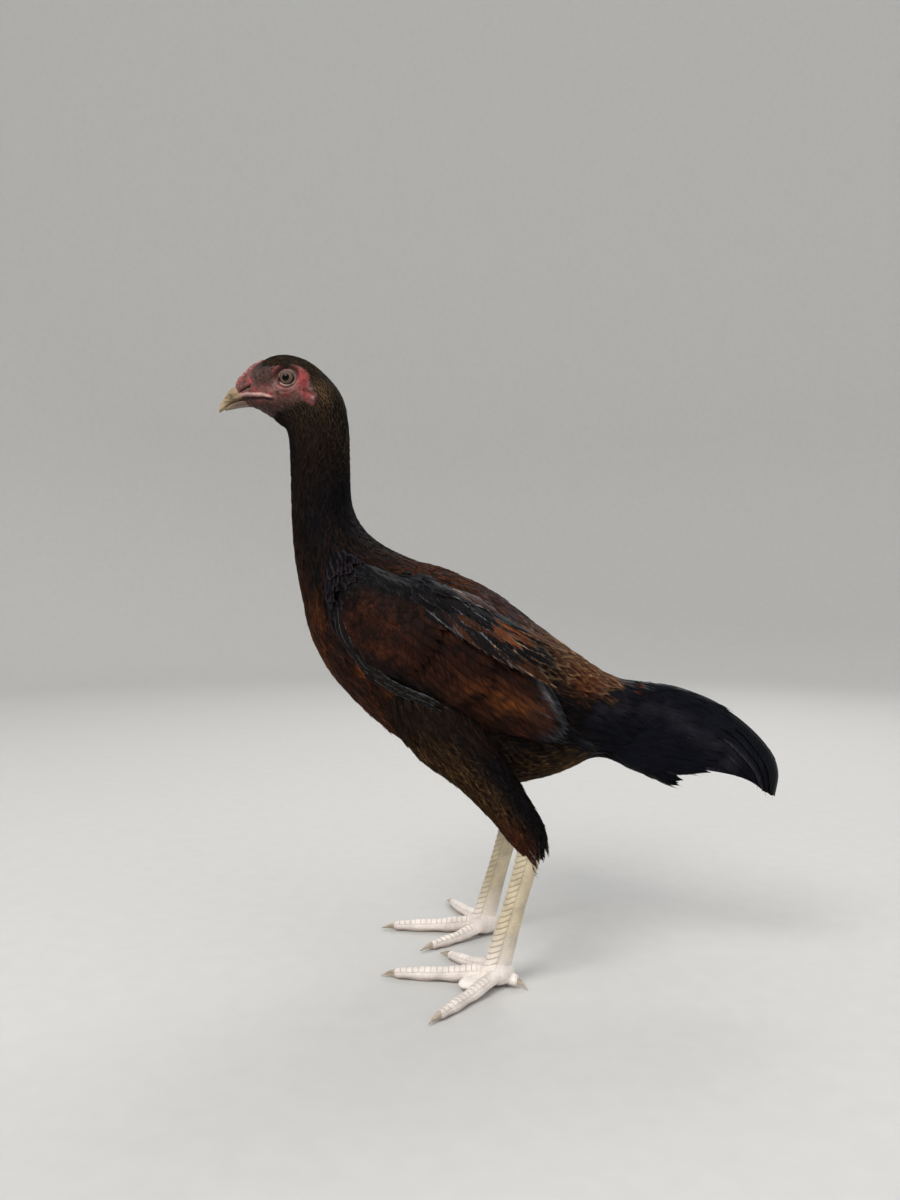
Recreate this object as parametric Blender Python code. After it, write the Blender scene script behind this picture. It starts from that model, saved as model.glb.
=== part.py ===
"""Australian game pullet, life size, standing. Metres, +Z up, the floor is z = 0.

The bird faces -X and its left side is towards -Y. The origin lies on the floor under the middle of the bird.
"""

import math
import random

import bmesh
import bpy
import numpy as np
from mathutils import Matrix, Vector

MM = 0.001
GAP = 0.3 * MM

# Stance: the legs stand side by side, the left foot a little behind the right one.
FOOT_SPREAD = 91 * MM
FOOT_STAGGER = 15 * MM
HOCK_HEIGHT = 92 * MM
FEATHER_SHEET = 0.55 * MM
FEATHER_LIFT = 1.0 * MM
SEED = 11

# Colours of the materials: red, green, blue, roughness.
PLUMAGE = ("plumage", (0.035, 0.022, 0.016), 0.6)
WING_RED = ("wing_feathers", (0.095, 0.030, 0.016), 0.55)
TAIL_BLACK = ("tail_feathers", (0.010, 0.011, 0.015), 0.42)
FACE_SKIN = ("face_skin", (0.42, 0.085, 0.07), 0.6)
HORN = ("horn", (0.50, 0.42, 0.25), 0.45)
SCALE = ("leg_scales", (0.66, 0.58, 0.47), 0.6)
EYE = ("eye", (0.34, 0.30, 0.20), 0.12)

# The body from the tail root to the bill. Each station is one flat cross-section, given by its point on the
# back line and its point on the belly line (x, z), its half width and where between the two it is widest.
STATIONS = {
    "tail_root": ((112, 198), (104, 137.5), 15, 0.62),
    "rump": ((86, 204.5), (78, 148), 25, 0.55),
    "vent": ((60, 221), (54, 138), 36, 0.5),
    "loin": ((34, 240), (20, 129), 46, 0.5),
    "flank": ((2, 264), (-15, 134), 52, 0.5),
    "side": ((-30, 279.5), (-48, 150), 55, 0.5),
    "breast": ((-57, 287.5), (-80, 171), 54, 0.5),
    "crop": ((-77, 297), (-110, 200), 47, 0.5),
    "neck_base": ((-90.5, 307), (-128, 228), 37, 0.5),
    "neck_low": ((-98.5, 318.5), (-136.5, 258), 29, 0.5),
    "neck_bend": ((-102.5, 331), (-143, 290), 24, 0.5),
    "neck_mid": ((-103.5, 346), (-145.5, 322), 21, 0.5),
    "neck_high": ((-103.7, 364), (-146.3, 351), 19.5, 0.5),
    "neck_top": ((-104.3, 384), (-147.5, 374), 18.5, 0.5),
    "nape": ((-106.5, 400), (-150, 384), 18, 0.5),
    "occiput": ((-111.5, 412), (-155.5, 388.5), 18.2, 0.5),
    "ear": ((-120, 422.5), (-160.5, 392.5), 18.2, 0.5),
    "cheek": ((-133, 433.5), (-165, 395.5), 17, 0.5),
    "eye": ((-149, 439), (-169, 398), 15, 0.52),
    "brow": ((-163, 437.5), (-172.5, 400), 12.2, 0.52),
    "forehead": ((-177, 429.5), (-176, 401.3), 9.8, 0.5),
    "bill_root": ((-189, 418.3), (-179.5, 402), 7.2, 0.46),
}
STATION_NAMES = list(STATIONS)
TORSO_SQUARENESS = 2.3
ROUND_SQUARENESS = 2.0

# The head's landmarks (x, distance from the middle, z).
EYE_CENTRE = (-146 * MM, 8.9 * MM, 419 * MM)
EYE_RADIUS = 7.4 * MM
EAR_CENTRE = (-124.5 * MM, 16.6 * MM, 410.8 * MM)
NOSTRIL = (-180 * MM, 7.6 * MM, 414.6 * MM)
MOUTH_CORNER = (-157 * MM, 14.0 * MM, 405 * MM)
MOUTH_FRONT = (-184 * MM, 5.2 * MM, 406.2 * MM)
MOUTH_SLIT = 0.7 * MM

# The folded wing lies in its own coordinates: a runs from the shoulder to the wing tip, b across towards the
# back, and h outwards from its curved outer face.
WING_SHOULDER = (-95 * MM, 268 * MM)
WING_SLOPE = math.radians(-32.4)
WING_CROWN = ((-12, 47), (-4, 52), (5, 56), (20, 60), (40, 64), (70, 67), (105, 66.5), (140, 60.5), (170, 53),
              (205, 41))
WING_MIDDLE = -2 * MM
WING_BOW_LOW = 8.1
WING_BOW_HIGH = 17.0
WING_DEPTH = 13 * MM
WING_OUTLINE = ((-9, -2, 10), (-4, -8, 18), (4, -17, 28), (14, -27, 34), (24, -34, 35), (40, -40, 34),
                (62, -42, 38), (98, -34, 38), (128, -26, 30), (146, -19, 18), (154, -12, 8))

# Tiers of wing feathers, from the outermost feather (lowest) to the innermost: root (a, b) and tip (a, b) of
# the first, of the middle and of the last feather, how many, their width and how deep the tier lies.
WING_TIERS = {
    "median_coverts": (((18, -22), (24, 1), (36, 24)), ((62, -37), (80, -10), (68, 27)), 7, 15, -1.0),
    "greater_coverts": (((38, -32), (50, -1), (66, 30)), ((101, -32), (120, -8), (104, 30)), 8, 15, -4.0),
    "secondaries": (((56, -34), (74, 2), (95, 35)), ((160, -20), (183, -1), (133, 25)), 8, 15, -7.0),
    "primaries": (((62, -35), (75, -26), (90, -17)), ((170, -19), (193, -9), (204, -2)), 4, 13, -10.0),
}

# The tail is a tent: a curved ridge, a lower edge and the half width between its two lower edges.
TAIL_RIDGE = ((98, 199), (126, 197), (150, 189.5), (171, 178), (188, 163.5), (199, 149), (202.6, 136), (200, 122))
TAIL_LOWER = ((90, 152), (109, 146.5), (127, 144.5), (144, 143), (160, 140.5), (175, 136.5), (186, 130),
              (192, 120))
TAIL_HALF_WIDTH = (15, 19, 22, 22, 19, 15, 10, 7)
TAIL_ROOTS = (0.10, 0.25, 0.40, 0.55, 0.70, 0.84)
TAIL_TIPS = (0.99, 0.97, 0.93, 0.87, 0.79, 0.68)
TAIL_SPACING = 0.15
TAIL_DROOP = 0.25
TAIL_FEATHER_WIDTH = 18 * MM
TAIL_ROWS = 7

# Front toes: turn outwards from straight ahead on the left and on the right foot, reach, where the root sits
# beside the foot's middle, thickness.
TOES = {
    "middle": ((-1.5, -1.5), 70, 0.0, 11.2),
    "inner": ((-41, -41), 48, -6.5, 9.6),
    "outer": ((57, 59), 60, 6.0, 9.8),
}
TOE_SCUTES = 7
SHANK_SCUTES = 12
CLAW_LENGTH = 9.5 * MM


def material(finish):
    """The material of this name, made on first use."""
    name, colour, roughness = finish
    found = bpy.data.materials.get(name)
    if found is None:
        found = bpy.data.materials.new(name)
        found.use_nodes = True
        shader = found.node_tree.nodes["Principled BSDF"]
        shader.inputs["Base Color"].default_value = (*colour, 1)
        shader.inputs["Roughness"].default_value = roughness
        shader.inputs["Metallic"].default_value = 0
    return found


def mesh_object(name, points, faces):
    """A linked object from points and faces, with its faces turned outwards."""
    mesh = bpy.data.meshes.new(name)
    mesh.from_pydata([tuple(p) for p in points], [], faces)
    bm = bmesh.new()
    bm.from_mesh(mesh)
    bmesh.ops.recalc_face_normals(bm, faces=bm.faces)
    bm.to_mesh(mesh)
    bm.free()
    obj = bpy.data.objects.new(name, mesh)
    bpy.context.scene.collection.objects.link(obj)
    return obj


def remove(objects):
    """Deletes helper objects."""
    for obj in objects:
        bpy.data.objects.remove(obj)


def bake_modifiers(obj):
    """Replaces the object's mesh by what its modifiers make of it."""
    bpy.context.view_layer.update()
    graph = bpy.context.evaluated_depsgraph_get()
    mesh = bpy.data.meshes.new_from_object(obj.evaluated_get(graph))
    obj.modifiers.clear()
    obj.data = mesh


def keep_largest(obj):
    """Keeps the largest closed surface of the object, and drops loose scraps and sealed hollows."""
    bm = bmesh.new()
    bm.from_mesh(obj.data)
    bm.faces.ensure_lookup_table()
    seen, shells = set(), []
    for start in bm.faces:
        if start.index in seen:
            continue
        shell, front = [], [start]
        seen.add(start.index)
        while front:
            face = front.pop()
            shell.append(face)
            for edge in face.edges:
                for other in edge.link_faces:
                    if other.index not in seen:
                        seen.add(other.index)
                        front.append(other)
        shells.append(shell)
    best = max(shells, key=shell_volume)
    if len(shells) > 1:
        dropped = [f for shell in shells if shell is not best for f in shell]
        bmesh.ops.delete(bm, geom=dropped, context="FACES")
        bm.to_mesh(obj.data)
    bm.free()


def shell_volume(faces):
    """Signed volume inside a set of faces."""
    volume = 0.0
    for face in faces:
        corners = [v.co for v in face.verts]
        for second, third in zip(corners[1:-1], corners[2:]):
            volume += corners[0].dot(second.cross(third)) / 6
    return volume


def fuse(obj, pieces):
    """Joins closed pieces into the object by one Boolean union, then removes them."""
    group = bpy.data.collections.new("pieces")
    for piece in pieces:
        group.objects.link(piece)
    union = obj.modifiers.new("union", "BOOLEAN")
    union.operation = "UNION"
    union.operand_type = "COLLECTION"
    union.collection = group
    union.solver = "EXACT"
    bake_modifiers(obj)
    remove(pieces)
    bpy.data.collections.remove(group)
    keep_largest(obj)
    return obj


def cut(obj, cutters):
    """Cuts closed pieces out of the object, then removes them."""
    for cutter in cutters:
        whole = obj.data
        for solver in ("EXACT", "MANIFOLD"):
            obj.data = whole
            difference = obj.modifiers.new("cut", "BOOLEAN")
            difference.operation = "DIFFERENCE"
            difference.object = cutter
            difference.solver = solver
            bake_modifiers(obj)
            if len(obj.data.polygons) > 3:
                break
    remove(cutters)
    keep_largest(obj)
    return obj


def finish(obj, finish_values, smooth_angle=40):
    """Gives the object its material and shading."""
    obj.data.materials.clear()
    obj.data.materials.append(material(finish_values))
    obj.data.shade_smooth()
    obj.data.set_sharp_from_angle(angle=math.radians(smooth_angle))
    return obj


def smooth_table(rows, t):
    """A row of a table of equally spaced rows, read at a position between them on a smooth curve."""
    last = len(rows) - 1
    i = min(int(t), last - 1)
    f = t - i
    p1, p2 = np.array(rows[i], float), np.array(rows[i + 1], float)
    p0 = np.array(rows[i - 1], float) if i > 0 else 2 * p1 - p2
    p3 = np.array(rows[i + 2], float) if i + 2 <= last else 2 * p2 - p1
    return 0.5 * (2 * p1 + (p2 - p0) * f + (2 * p0 - 5 * p1 + 4 * p2 - p3) * f * f + (3 * p1 - p0 - 3 * p2 + p3) * f**3)


def read_curve(rows, x):
    """The second value of a row table at a first value, smoothly between the rows."""
    keys = [row[0] for row in rows]
    i = max(0, min(len(keys) - 2, int(np.searchsorted(keys, x)) - 1))
    t = i + min(1, max(0, (x - keys[i]) / (keys[i + 1] - keys[i])))
    return smooth_table([row[1:] for row in rows], t)


def loft(name, rings):
    """A closed body through rings of as many points each, with flat ends."""
    count = len(rings[0])
    points = [p for ring in rings for p in ring]
    faces = []
    for r in range(len(rings) - 1):
        for k in range(count):
            n = (k + 1) % count
            faces.append((r * count + k, r * count + n, (r + 1) * count + n, (r + 1) * count + k))
    faces.append(tuple(range(count)))
    faces.append(tuple(range((len(rings) - 1) * count, len(rings) * count)))
    return mesh_object(name, points, faces)


def ellipsoid(name, centre, radii, segments=12, rings=8, turn=(0, 0, 0)):
    """A closed ellipsoid, turned about its centre by degrees about x, y and z."""
    bm = bmesh.new()
    bmesh.ops.create_uvsphere(bm, u_segments=segments, v_segments=rings, radius=1)
    mesh = bpy.data.meshes.new(name)
    bm.to_mesh(mesh)
    bm.free()
    turning = Matrix.Identity(4)
    for axis, degrees in zip("XYZ", turn):
        turning = Matrix.Rotation(math.radians(degrees), 4, axis) @ turning
    mesh.transform(Matrix.Translation(centre) @ turning @ Matrix.Diagonal((*radii, 1)))
    obj = bpy.data.objects.new(name, mesh)
    bpy.context.scene.collection.objects.link(obj)
    return obj


def body_row(station):
    """A station of the body as one row of numbers, in metres."""
    back, belly, half_width, widest = STATIONS[station]
    return [v * MM for v in (*back, *belly, half_width)] + [widest]


BODY_ROWS = [body_row(name) for name in STATION_NAMES]


def body_ring(t, count, grow=0.0, shift=0.0):
    """One cross-section of the body at a station number, grown outwards, and moved along the body by shift."""
    bx, bz, vx, vz, half_width, widest = smooth_table(BODY_ROWS, t)
    back, belly = Vector((bx, 0, bz)), Vector((vx, 0, vz))
    upwards = (back - belly).normalized()
    forwards = Vector((upwards.z, 0, -upwards.x)) * -1
    back, belly = back + upwards * grow, belly - upwards * grow
    centre = belly.lerp(back, widest)
    blend = min(1, max(0, (t - 6) / 4))
    power = 2 / (TORSO_SQUARENESS * (1 - blend) + ROUND_SQUARENESS * blend)
    ring = []
    for k in range(count):
        angle = 2 * math.pi * k / count
        c, s = math.cos(angle), math.sin(angle)
        rise = abs(c) ** power
        side = math.copysign(abs(s) ** power, s) * (half_width + grow)
        tip = back if c > 0 else belly
        ring.append(centre.lerp(tip, rise) + Vector((0, side, 0)) + forwards * shift)
    return ring


def body_part(name, first, last, steps, count, grow=0.0, gap_first=0.0, gap_last=0.0):
    """The body between two named stations, with its flat ends drawn back by the gaps."""
    start, end = STATION_NAMES.index(first), STATION_NAMES.index(last)
    total = (end - start) * steps
    rings = []
    for r in range(total + 1):
        shift = gap_first if r == 0 else -gap_last if r == total else 0.0
        rings.append(body_ring(start + r / steps, count, grow, shift))
    return loft(name, rings)


def torso_cutter():
    """The torso grown by the gap, to cut what lies against it."""
    return body_part("torso_cutter", "tail_root", "neck_base", 2, 24, grow=GAP)


def head_cutter():
    """The head grown by the gap."""
    return body_part("head_cutter", "nape", "bill_root", 2, 20, grow=GAP, gap_last=-GAP)


def tube(name, path, across, depth, count, top_lift=None):
    """A closed body along a path: half sizes across and up at each point, flattened where it meets the floor."""
    rings = []
    up = Vector((0, 0, 1))
    for i, point in enumerate(path):
        ahead = path[min(i + 1, len(path) - 1)] - path[max(i - 1, 0)]
        ahead.normalize()
        side = ahead.cross(up)
        side = side.normalized() if side.length > 1e-6 else Vector((0, 1, 0))
        top = side.cross(ahead).normalized()
        ring = []
        for k in range(count):
            angle = 2 * math.pi * (k + 0.5) / count
            lift = top_lift(i, math.cos(angle)) if top_lift else 0.0
            p = point + side * math.sin(angle) * across[i] + top * math.cos(angle) * (depth[i] + lift)
            ring.append(Vector((p.x, p.y, max(p.z, 0.0))))
        rings.append(ring)
    return loft(name, rings)


def wing_point(side, a, b, h):
    """A point of the wing: side is -1 for the left and 1 for the right one."""
    eps = 0.5 * MM
    here = wing_face(a, b)
    along = wing_face(a + eps, b) - here
    across = wing_face(a, b + eps) - here
    out = along.cross(across).normalized()
    if out.y < 0:
        out = -out
    p = here + out * h
    return Vector((p.x, side * p.y, p.z))


def wing_face(a, b):
    """The wing's smooth outer face, for the right side."""
    x = WING_SHOULDER[0] + a * math.cos(WING_SLOPE) - b * math.sin(WING_SLOPE)
    z = WING_SHOULDER[1] + a * math.sin(WING_SLOPE) + b * math.cos(WING_SLOPE)
    from_middle = b - WING_MIDDLE
    bow = WING_BOW_HIGH if from_middle > 0 else WING_BOW_LOW
    y = read_curve(WING_CROWN, a / MM)[0] * MM - bow * from_middle**2
    return Vector((x, y, z))


def wing_core(side):
    """The feathered arm: a pad from the shoulder to the rear, thick in front, that reaches into the torso.

    Its face sinks towards the rear, so that every tier of feathers starts inside it and leaves it in turn."""
    columns = 10
    rings = []
    for a, low, high in WING_OUTLINE:
        a, low, high = a * MM, low * MM, high * MM
        outer, inner = [], []
        for k in range(columns + 1):
            f = 2 * k / columns - 1
            b = low + (high - low) * (f + 1) / 2
            depth = max(0, a - 30 * MM) * 0.095 + 6 * MM * f**6
            p = wing_point(side, a, b, -depth)
            outer.append(p)
            inner.append(Vector((p.x, side * 20 * MM, p.z)))
        rings.append(outer + inner[::-1])
    return loft("wing_core", rings)


def vane(name, place, spot, height, shares):
    """One feather vane as a thin closed sheet, split into triangles alike on both faces.

    place turns two surface coordinates and a height into a point, spot gives the surface coordinates at a share
    of the vane's length and of its half width, and height the height there."""
    columns = 2
    upper, lower = [], []
    for s in shares:
        for c in range(columns + 1):
            a, b = spot(s, 2 * c / columns - 1)
            h = height(s, a, b)
            upper.append(place(a, b, h + FEATHER_SHEET / 2))
            lower.append(place(a, b, h - FEATHER_SHEET / 2))
    rows = len(shares) - 1
    wide = columns + 1
    faces = []
    base = len(upper)
    for r in range(rows):
        for c in range(columns):
            k = r * wide + c
            quad = (k, k + 1, k + wide + 1, k + wide)
            for tri in ((0, 1, 2), (0, 2, 3)):
                faces.append(tuple(quad[i] for i in tri))
                faces.append(tuple(base + quad[i] for i in reversed(tri)))
    rim = [c for c in range(wide)] + [r * wide + columns for r in range(1, rows + 1)]
    rim += [rows * wide + c for c in range(columns - 1, -1, -1)] + [r * wide for r in range(rows - 1, 0, -1)]
    for i, k in enumerate(rim):
        n = rim[(i + 1) % len(rim)]
        faces.append((k, base + k, base + n, n))
    return mesh_object(name, upper + lower, faces)


def vane_width(full):
    """Half width along a vane: narrow at the root, full past the middle and rounded at the tip."""
    def width(s):
        rise = 0.55 + 0.45 * min(1, s / 0.45)
        tip = math.sqrt(max(0.0, 1 - ((s - 0.62) / 0.40) ** 2)) if s > 0.62 else 1.0
        return full / 2 * rise * max(0.22, tip)
    return width


def tier_point(three, f):
    """A point at a share along a tier's line through its first, middle and last point."""
    first, middle, last = (Vector(p) * MM for p in three)
    bulge = middle * 2 - (first + last) / 2
    return first * (1 - f) ** 2 + bulge * 2 * f * (1 - f) + last * f**2


def wing_tier(side, tier):
    """The feathers of one tier of the wing, each upper one lying over the next lower one."""
    roots, tips, count, full, depth = WING_TIERS[tier]
    chance = random.Random(f"{SEED} {tier}")
    step = 1 / (count - 1)
    made = []
    for i in range(count):
        f = i * step
        root, tip = tier_point(roots, f), tier_point(tips, f)
        tip = root + (tip - root) * (1 + chance.uniform(-0.02, 0.02))
        root_gap = (tier_point(roots, 1) - tier_point(roots, 0)).length * step
        tip_gap = (tier_point(tips, f + step / 2) - tier_point(tips, f - step / 2)).length
        ahead = (tip - root).normalized()
        normal = Vector((-ahead.y, ahead.x))
        bow = (tip - root).length * 0.035
        width = vane_width(full * MM)

        def spot(s, share, root=root, tip=tip, normal=normal, bow=bow, width=width):
            return root.lerp(tip, s) + normal * (bow * 4 * s * (1 - s) + width(s) * share)

        def height(s, a, b, root=root, tip=tip, normal=normal, bow=bow, gaps=(root_gap, tip_gap)):
            beside = (Vector((a, b)) - root.lerp(tip, s)).dot(normal) - bow * 4 * s * (1 - s)
            return depth * MM - FEATHER_LIFT * beside / (gaps[0] * (1 - s) + gaps[1] * s)

        rows = 4 if (tip - root).length > 70 * MM else 3
        made.append(vane(f"{tier}_{i}", lambda a, b, h: wing_point(side, a, b, h), spot, height,
                         [r / rows for r in range(rows + 1)]))
    return made


def wing_slab(side, deep, high=25 * MM):
    """The space that the wing takes, to clear the leg under it: from a depth below its face to far outside."""
    columns = 6
    rings = []
    for a, low, high_b in WING_OUTLINE + ((190, -24, 10), (215, -16, 4)):
        outer, inner = [], []
        for k in range(columns + 1):
            b = (low - 2 + (high_b - low + 5) * k / columns) * MM
            outer.append(wing_point(side, a * MM, b, high))
            inner.append(wing_point(side, a * MM, b, -deep))
        rings.append(outer + inner[::-1])
    return loft("wing_slab", rings)


def wing(name, side, legs):
    """One folded wing: the feathered arm and its tiers of vanes, laid against the torso and the leg."""
    core = wing_core(side)
    core.name = name
    fuse(core, [v for tier in WING_TIERS for v in wing_tier(side, tier)])
    cut(core, [torso_cutter(), *legs])
    return finish(core, WING_RED, 30)


def tail_face(u, v):
    """The tail's tent: u from the root to the tip, v from the lower left edge (-1) over the ridge (0) to the right."""
    last = len(TAIL_RIDGE) - 1
    t = min(max(u, 0), 1) * last
    rx, rz = smooth_table(TAIL_RIDGE, t)
    lx, lz = smooth_table(TAIL_LOWER, t)
    half = smooth_table([(w,) for w in TAIL_HALF_WIDTH], t)[0]
    drop = abs(v) ** 1.5
    return Vector((rx + (lx - rx) * drop, half * math.sin(v * 1.35) / math.sin(1.35), rz + (lz - rz) * drop)) * MM


def tail_point(u, v, h):
    """A point at a height above the tail's tent."""
    u = min(max(u, 0.0), 0.995)
    here = tail_face(u, v)
    along = tail_face(u + 0.004, v) - here
    across = tail_face(u, v + 0.01) - here
    out = across.cross(along).normalized()
    inside = (tail_face(u, -1) + tail_face(u, 1)) / 2
    if out.dot(here - inside) < 0:
        out = -out
    return here + out * h


def tail_vane(side, i):
    """One tail feather: it drifts from its root on the tent down towards the lower edge."""
    tip = TAIL_TIPS[i]
    first = 3.0 * MM if i == 0 and side > 0 else 0.0

    def middle(u):
        return TAIL_ROOTS[i] + TAIL_DROOP * u * u

    def spot(s, share):
        u = tip * s
        depth = (tail_face(u, 0) - tail_face(u, 1)).length + 3 * MM
        half = vane_width(TAIL_FEATHER_WIDTH)(s) / depth
        return u, min(1.0, max(-0.12 * (1 - u**4) if first else 0.03, middle(u) + half * share))

    def height(s, u, v):
        return first * min(1, u / 0.12) + FEATHER_LIFT * 1.1 * (v - middle(u)) / TAIL_SPACING

    shares = [r / TAIL_ROWS / tip for r in range(TAIL_ROWS) if r / TAIL_ROWS < tip - 0.06] + [1.0]
    return vane(f"tail_{side}_{i}", lambda u, v, h: tail_point(u, side * v, h), spot, height, shares)


def tail_core():
    """The root of the tail: a solid tent from inside the torso out to where the feathers leave it."""
    columns = 12
    rings = []
    for u, depth, low in ((0.0, -1.7, 1.0), (0.07, -1.7, 1.0), (0.13, 0.6, 0.98), (0.19, 3.8, 0.92)):
        spots = [2 * k / columns - 1 for k in range(columns + 1)]
        rings.append([tail_point(u, v * low, -depth * MM) for v in spots])
    return loft("tail_core", rings)


def under_coverts():
    """The feathers that reach from the rump under the root of the tail."""
    made = []
    for side in (-1, 1):
        pieces = (((92, 4, 147), 6.2), ((102, 5, 142.8), 5.8), ((111, 4.5, 138.8), 4.4), ((119.5, 3.5, 134.8), 1.5))
        rings = []
        for (x, y, z), half in pieces:
            centre = Vector((x, side * (y + 1.2), z + 0.5)) * MM
            lean = Vector((0.30, side * 0.10, 0.94)).normalized() * half * MM
            thin = Vector((0, side, 0)) * 0.5 * MM
            rings.append([centre - lean - thin, centre - lean + thin, centre + thin * 2.2, centre + lean + thin,
                          centre + lean - thin, centre - thin * 2.2])
        made.append(loft("covert", rings))
    return made


def tail():
    """The tail: a feathered root and a tent of overlapping feathers, the middle pair on top."""
    obj = tail_core()
    obj.name = "tail"
    fuse(obj, [tail_vane(side, i) for side in (-1, 1) for i in range(len(TAIL_ROOTS))])
    cut(obj, [torso_cutter()])
    return finish(obj, TAIL_BLACK, 30)


def leg_path(side, stagger):
    """Knee, hock and foot of one leg."""
    y = side * FOOT_SPREAD / 2
    hock = Vector((22 * MM + stagger, y, HOCK_HEIGHT))
    foot = Vector((stagger, y, 11 * MM))
    return y, hock, foot


def thigh_tube(name, side, stagger, grow=0.0):
    """The feathered thigh and drumstick down to the hock."""
    y, hock, _ = leg_path(side, stagger)
    rows = (
        (-43, -9, 210, 30, 15),
        (-40, -7, 190, 31, 19),
        (-29, -4, 168, 26, 19.5),
        (-10, -2, 146, 19, 17),
        (8, -0.5, 122, 14.5, 14),
        (20, 0, 103, 12.6, 12),
        (24.5, 0, 93, 9.8, 9.8),
    )
    last = len(rows) - 1
    path, fore, sideways = [], [], []
    for k in range(2 * last + 1):
        x, inwards, z, along, across = smooth_table(rows, k / 2)
        share = min(1, max(0, (210 - z) / 115))
        path.append(Vector((x * MM + stagger * share, y - side * inwards * -1 * MM, z * MM)))
        fore.append(along * MM + grow)
        sideways.append(across * MM + grow)
    rings = []
    for i, point in enumerate(path):
        ahead = (path[min(i + 1, len(path) - 1)] - path[max(i - 1, 0)]).normalized()
        front = Vector((0, 1, 0)).cross(ahead).normalized()
        ring = []
        for k in range(16):
            angle = 2 * math.pi * k / 16
            ring.append(point + front * math.cos(angle) * fore[i] + Vector((0, 1, 0)) * math.sin(angle) * sideways[i])
        rings.append(ring)
    return loft(name, rings)


def thigh(name, side, stagger):
    """One thigh, cut flush with the torso and with the wing that lies over it."""
    obj = thigh_tube(name, side, stagger)
    _, hock, foot = leg_path(side, stagger)
    cut(obj, [torso_cutter(), wing_slab(side, WING_DEPTH + GAP), shank_body("shank_cutter", hock, foot, GAP)])
    return finish(obj, PLUMAGE)


def thigh_cutter(side, stagger):
    """The thigh grown by the gap, as the wing meets it."""
    obj = thigh_tube("thigh_cutter", side, stagger, grow=GAP)
    return cut(obj, [wing_slab(side, WING_DEPTH)])


def foot_pad(name, side, foot, grow=0.0):
    """The ball of the foot with the web beside the middle toe, flat underneath."""
    parts = [
        ellipsoid(name, (foot.x, foot.y, 9 * MM), (12 * MM + grow, 11.5 * MM + grow, 10.5 * MM + grow), 14, 8),
        ellipsoid("web", (foot.x - 12 * MM, foot.y + side * 8 * MM, 3.5 * MM),
                  (14 * MM + grow, 9 * MM + grow, 5.5 * MM + grow), 12, 7, (0, 0, side * -28)),
    ]
    for part in parts:
        for vertex in part.data.vertices:
            vertex.co.z = max(vertex.co.z, -grow)
    return fuse(parts[0], parts[1:])


def shank_body(name, hock, foot, grow=0.0):
    """The scaled shank alone, its front scutes raised as a row of plates."""
    top = hock + Vector((2.4, 0, 5)) * MM
    down = (foot - top).normalized()
    front = Vector((0, 1, 0)).cross(down).normalized()
    front = front if front.x < 0 else -front
    count = 10
    rings = []
    for plate in range(SHANK_SCUTES):
        for edge in (0, 1):
            t = (plate + edge * 0.86) / SHANK_SCUTES
            point = top.lerp(foot, t)
            waist = 1 - 0.16 * math.sin(math.pi * min(1, t * 1.15))
            ring = []
            for k in range(count):
                angle = 2 * math.pi * k / count
                c = math.cos(angle)
                lift = edge * 0.9 * MM * max(0, c) ** 0.5
                ring.append(point + front * c * (8.6 * MM * waist + lift + grow)
                            + Vector((0, 1, 0)) * math.sin(angle) * (7.4 * MM * waist + grow))
            rings.append(ring)
    if grow:
        rings[0] = [p - down * grow for p in rings[0]]
    return loft(name, rings)


def shank(name, side, stagger):
    """The shank from the hock to the ball of the foot."""
    _, hock, foot = leg_path(side, stagger)
    obj = shank_body(name, hock, foot)
    fuse(obj, [foot_pad("pad", side, foot)])
    return finish(obj, SCALE, 25)


def toe_frame(side, foot, turn, beside):
    """Root and direction of a toe: turn is outwards from straight ahead, beside is outwards from the middle."""
    angle = math.radians(turn)
    ahead = Vector((-math.cos(angle), side * math.sin(angle), 0))
    root = foot + Vector((0, side * beside * MM, 0))
    root.z = 0
    return root, ahead


def toe_tube(name, root, ahead, reach, thick, scutes, grow=0.0, start=3 * MM, high=9.0):
    """A scaled toe from inside the ball of the foot to its end, flat where it rests, plates raised on top."""
    path, across, depth, steps = [], [], [], []
    for plate in range(scutes):
        for edge in (0, 1):
            t = (plate + edge * 0.86) / (scutes - 0.14)
            taper = 1 - 0.36 * t - 0.05 * math.sin(t * math.pi * 5)
            half = thick * MM / 2 * taper
            rise = half * 0.94 + (high - thick / 2) * MM * (1 - t) ** 3
            path.append(root + ahead * (start + (reach * MM - start) * t) + Vector((0, 0, rise)))
            across.append(half + grow)
            depth.append(half * 1.02 + grow)
            steps.append(edge)

    def top_lift(i, upwards):
        return steps[i] * 0.7 * MM * max(0, upwards) ** 0.5

    return tube(name, path, across, depth, 8, top_lift)


def claw(name, start, ahead, length, thick, end_height, facing=None):
    """A curved claw from the end of a toe; its flat root faces back along the toe."""
    path, sizes = [], []
    for k in range(4):
        t = k / 3
        drop = (start.z - end_height) * t**1.8
        path.append(start + ahead * length * t - Vector((0, 0, drop)))
        sizes.append(thick * (1 - 0.86 * t))
    obj = tube(name, path, sizes, [s * 1.15 for s in sizes], 6)
    if facing is not None:
        root = obj.data.vertices[:6]
        for vertex in root:
            vertex.co -= facing * (vertex.co - start).dot(facing)
    return finish(obj, HORN)


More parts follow.
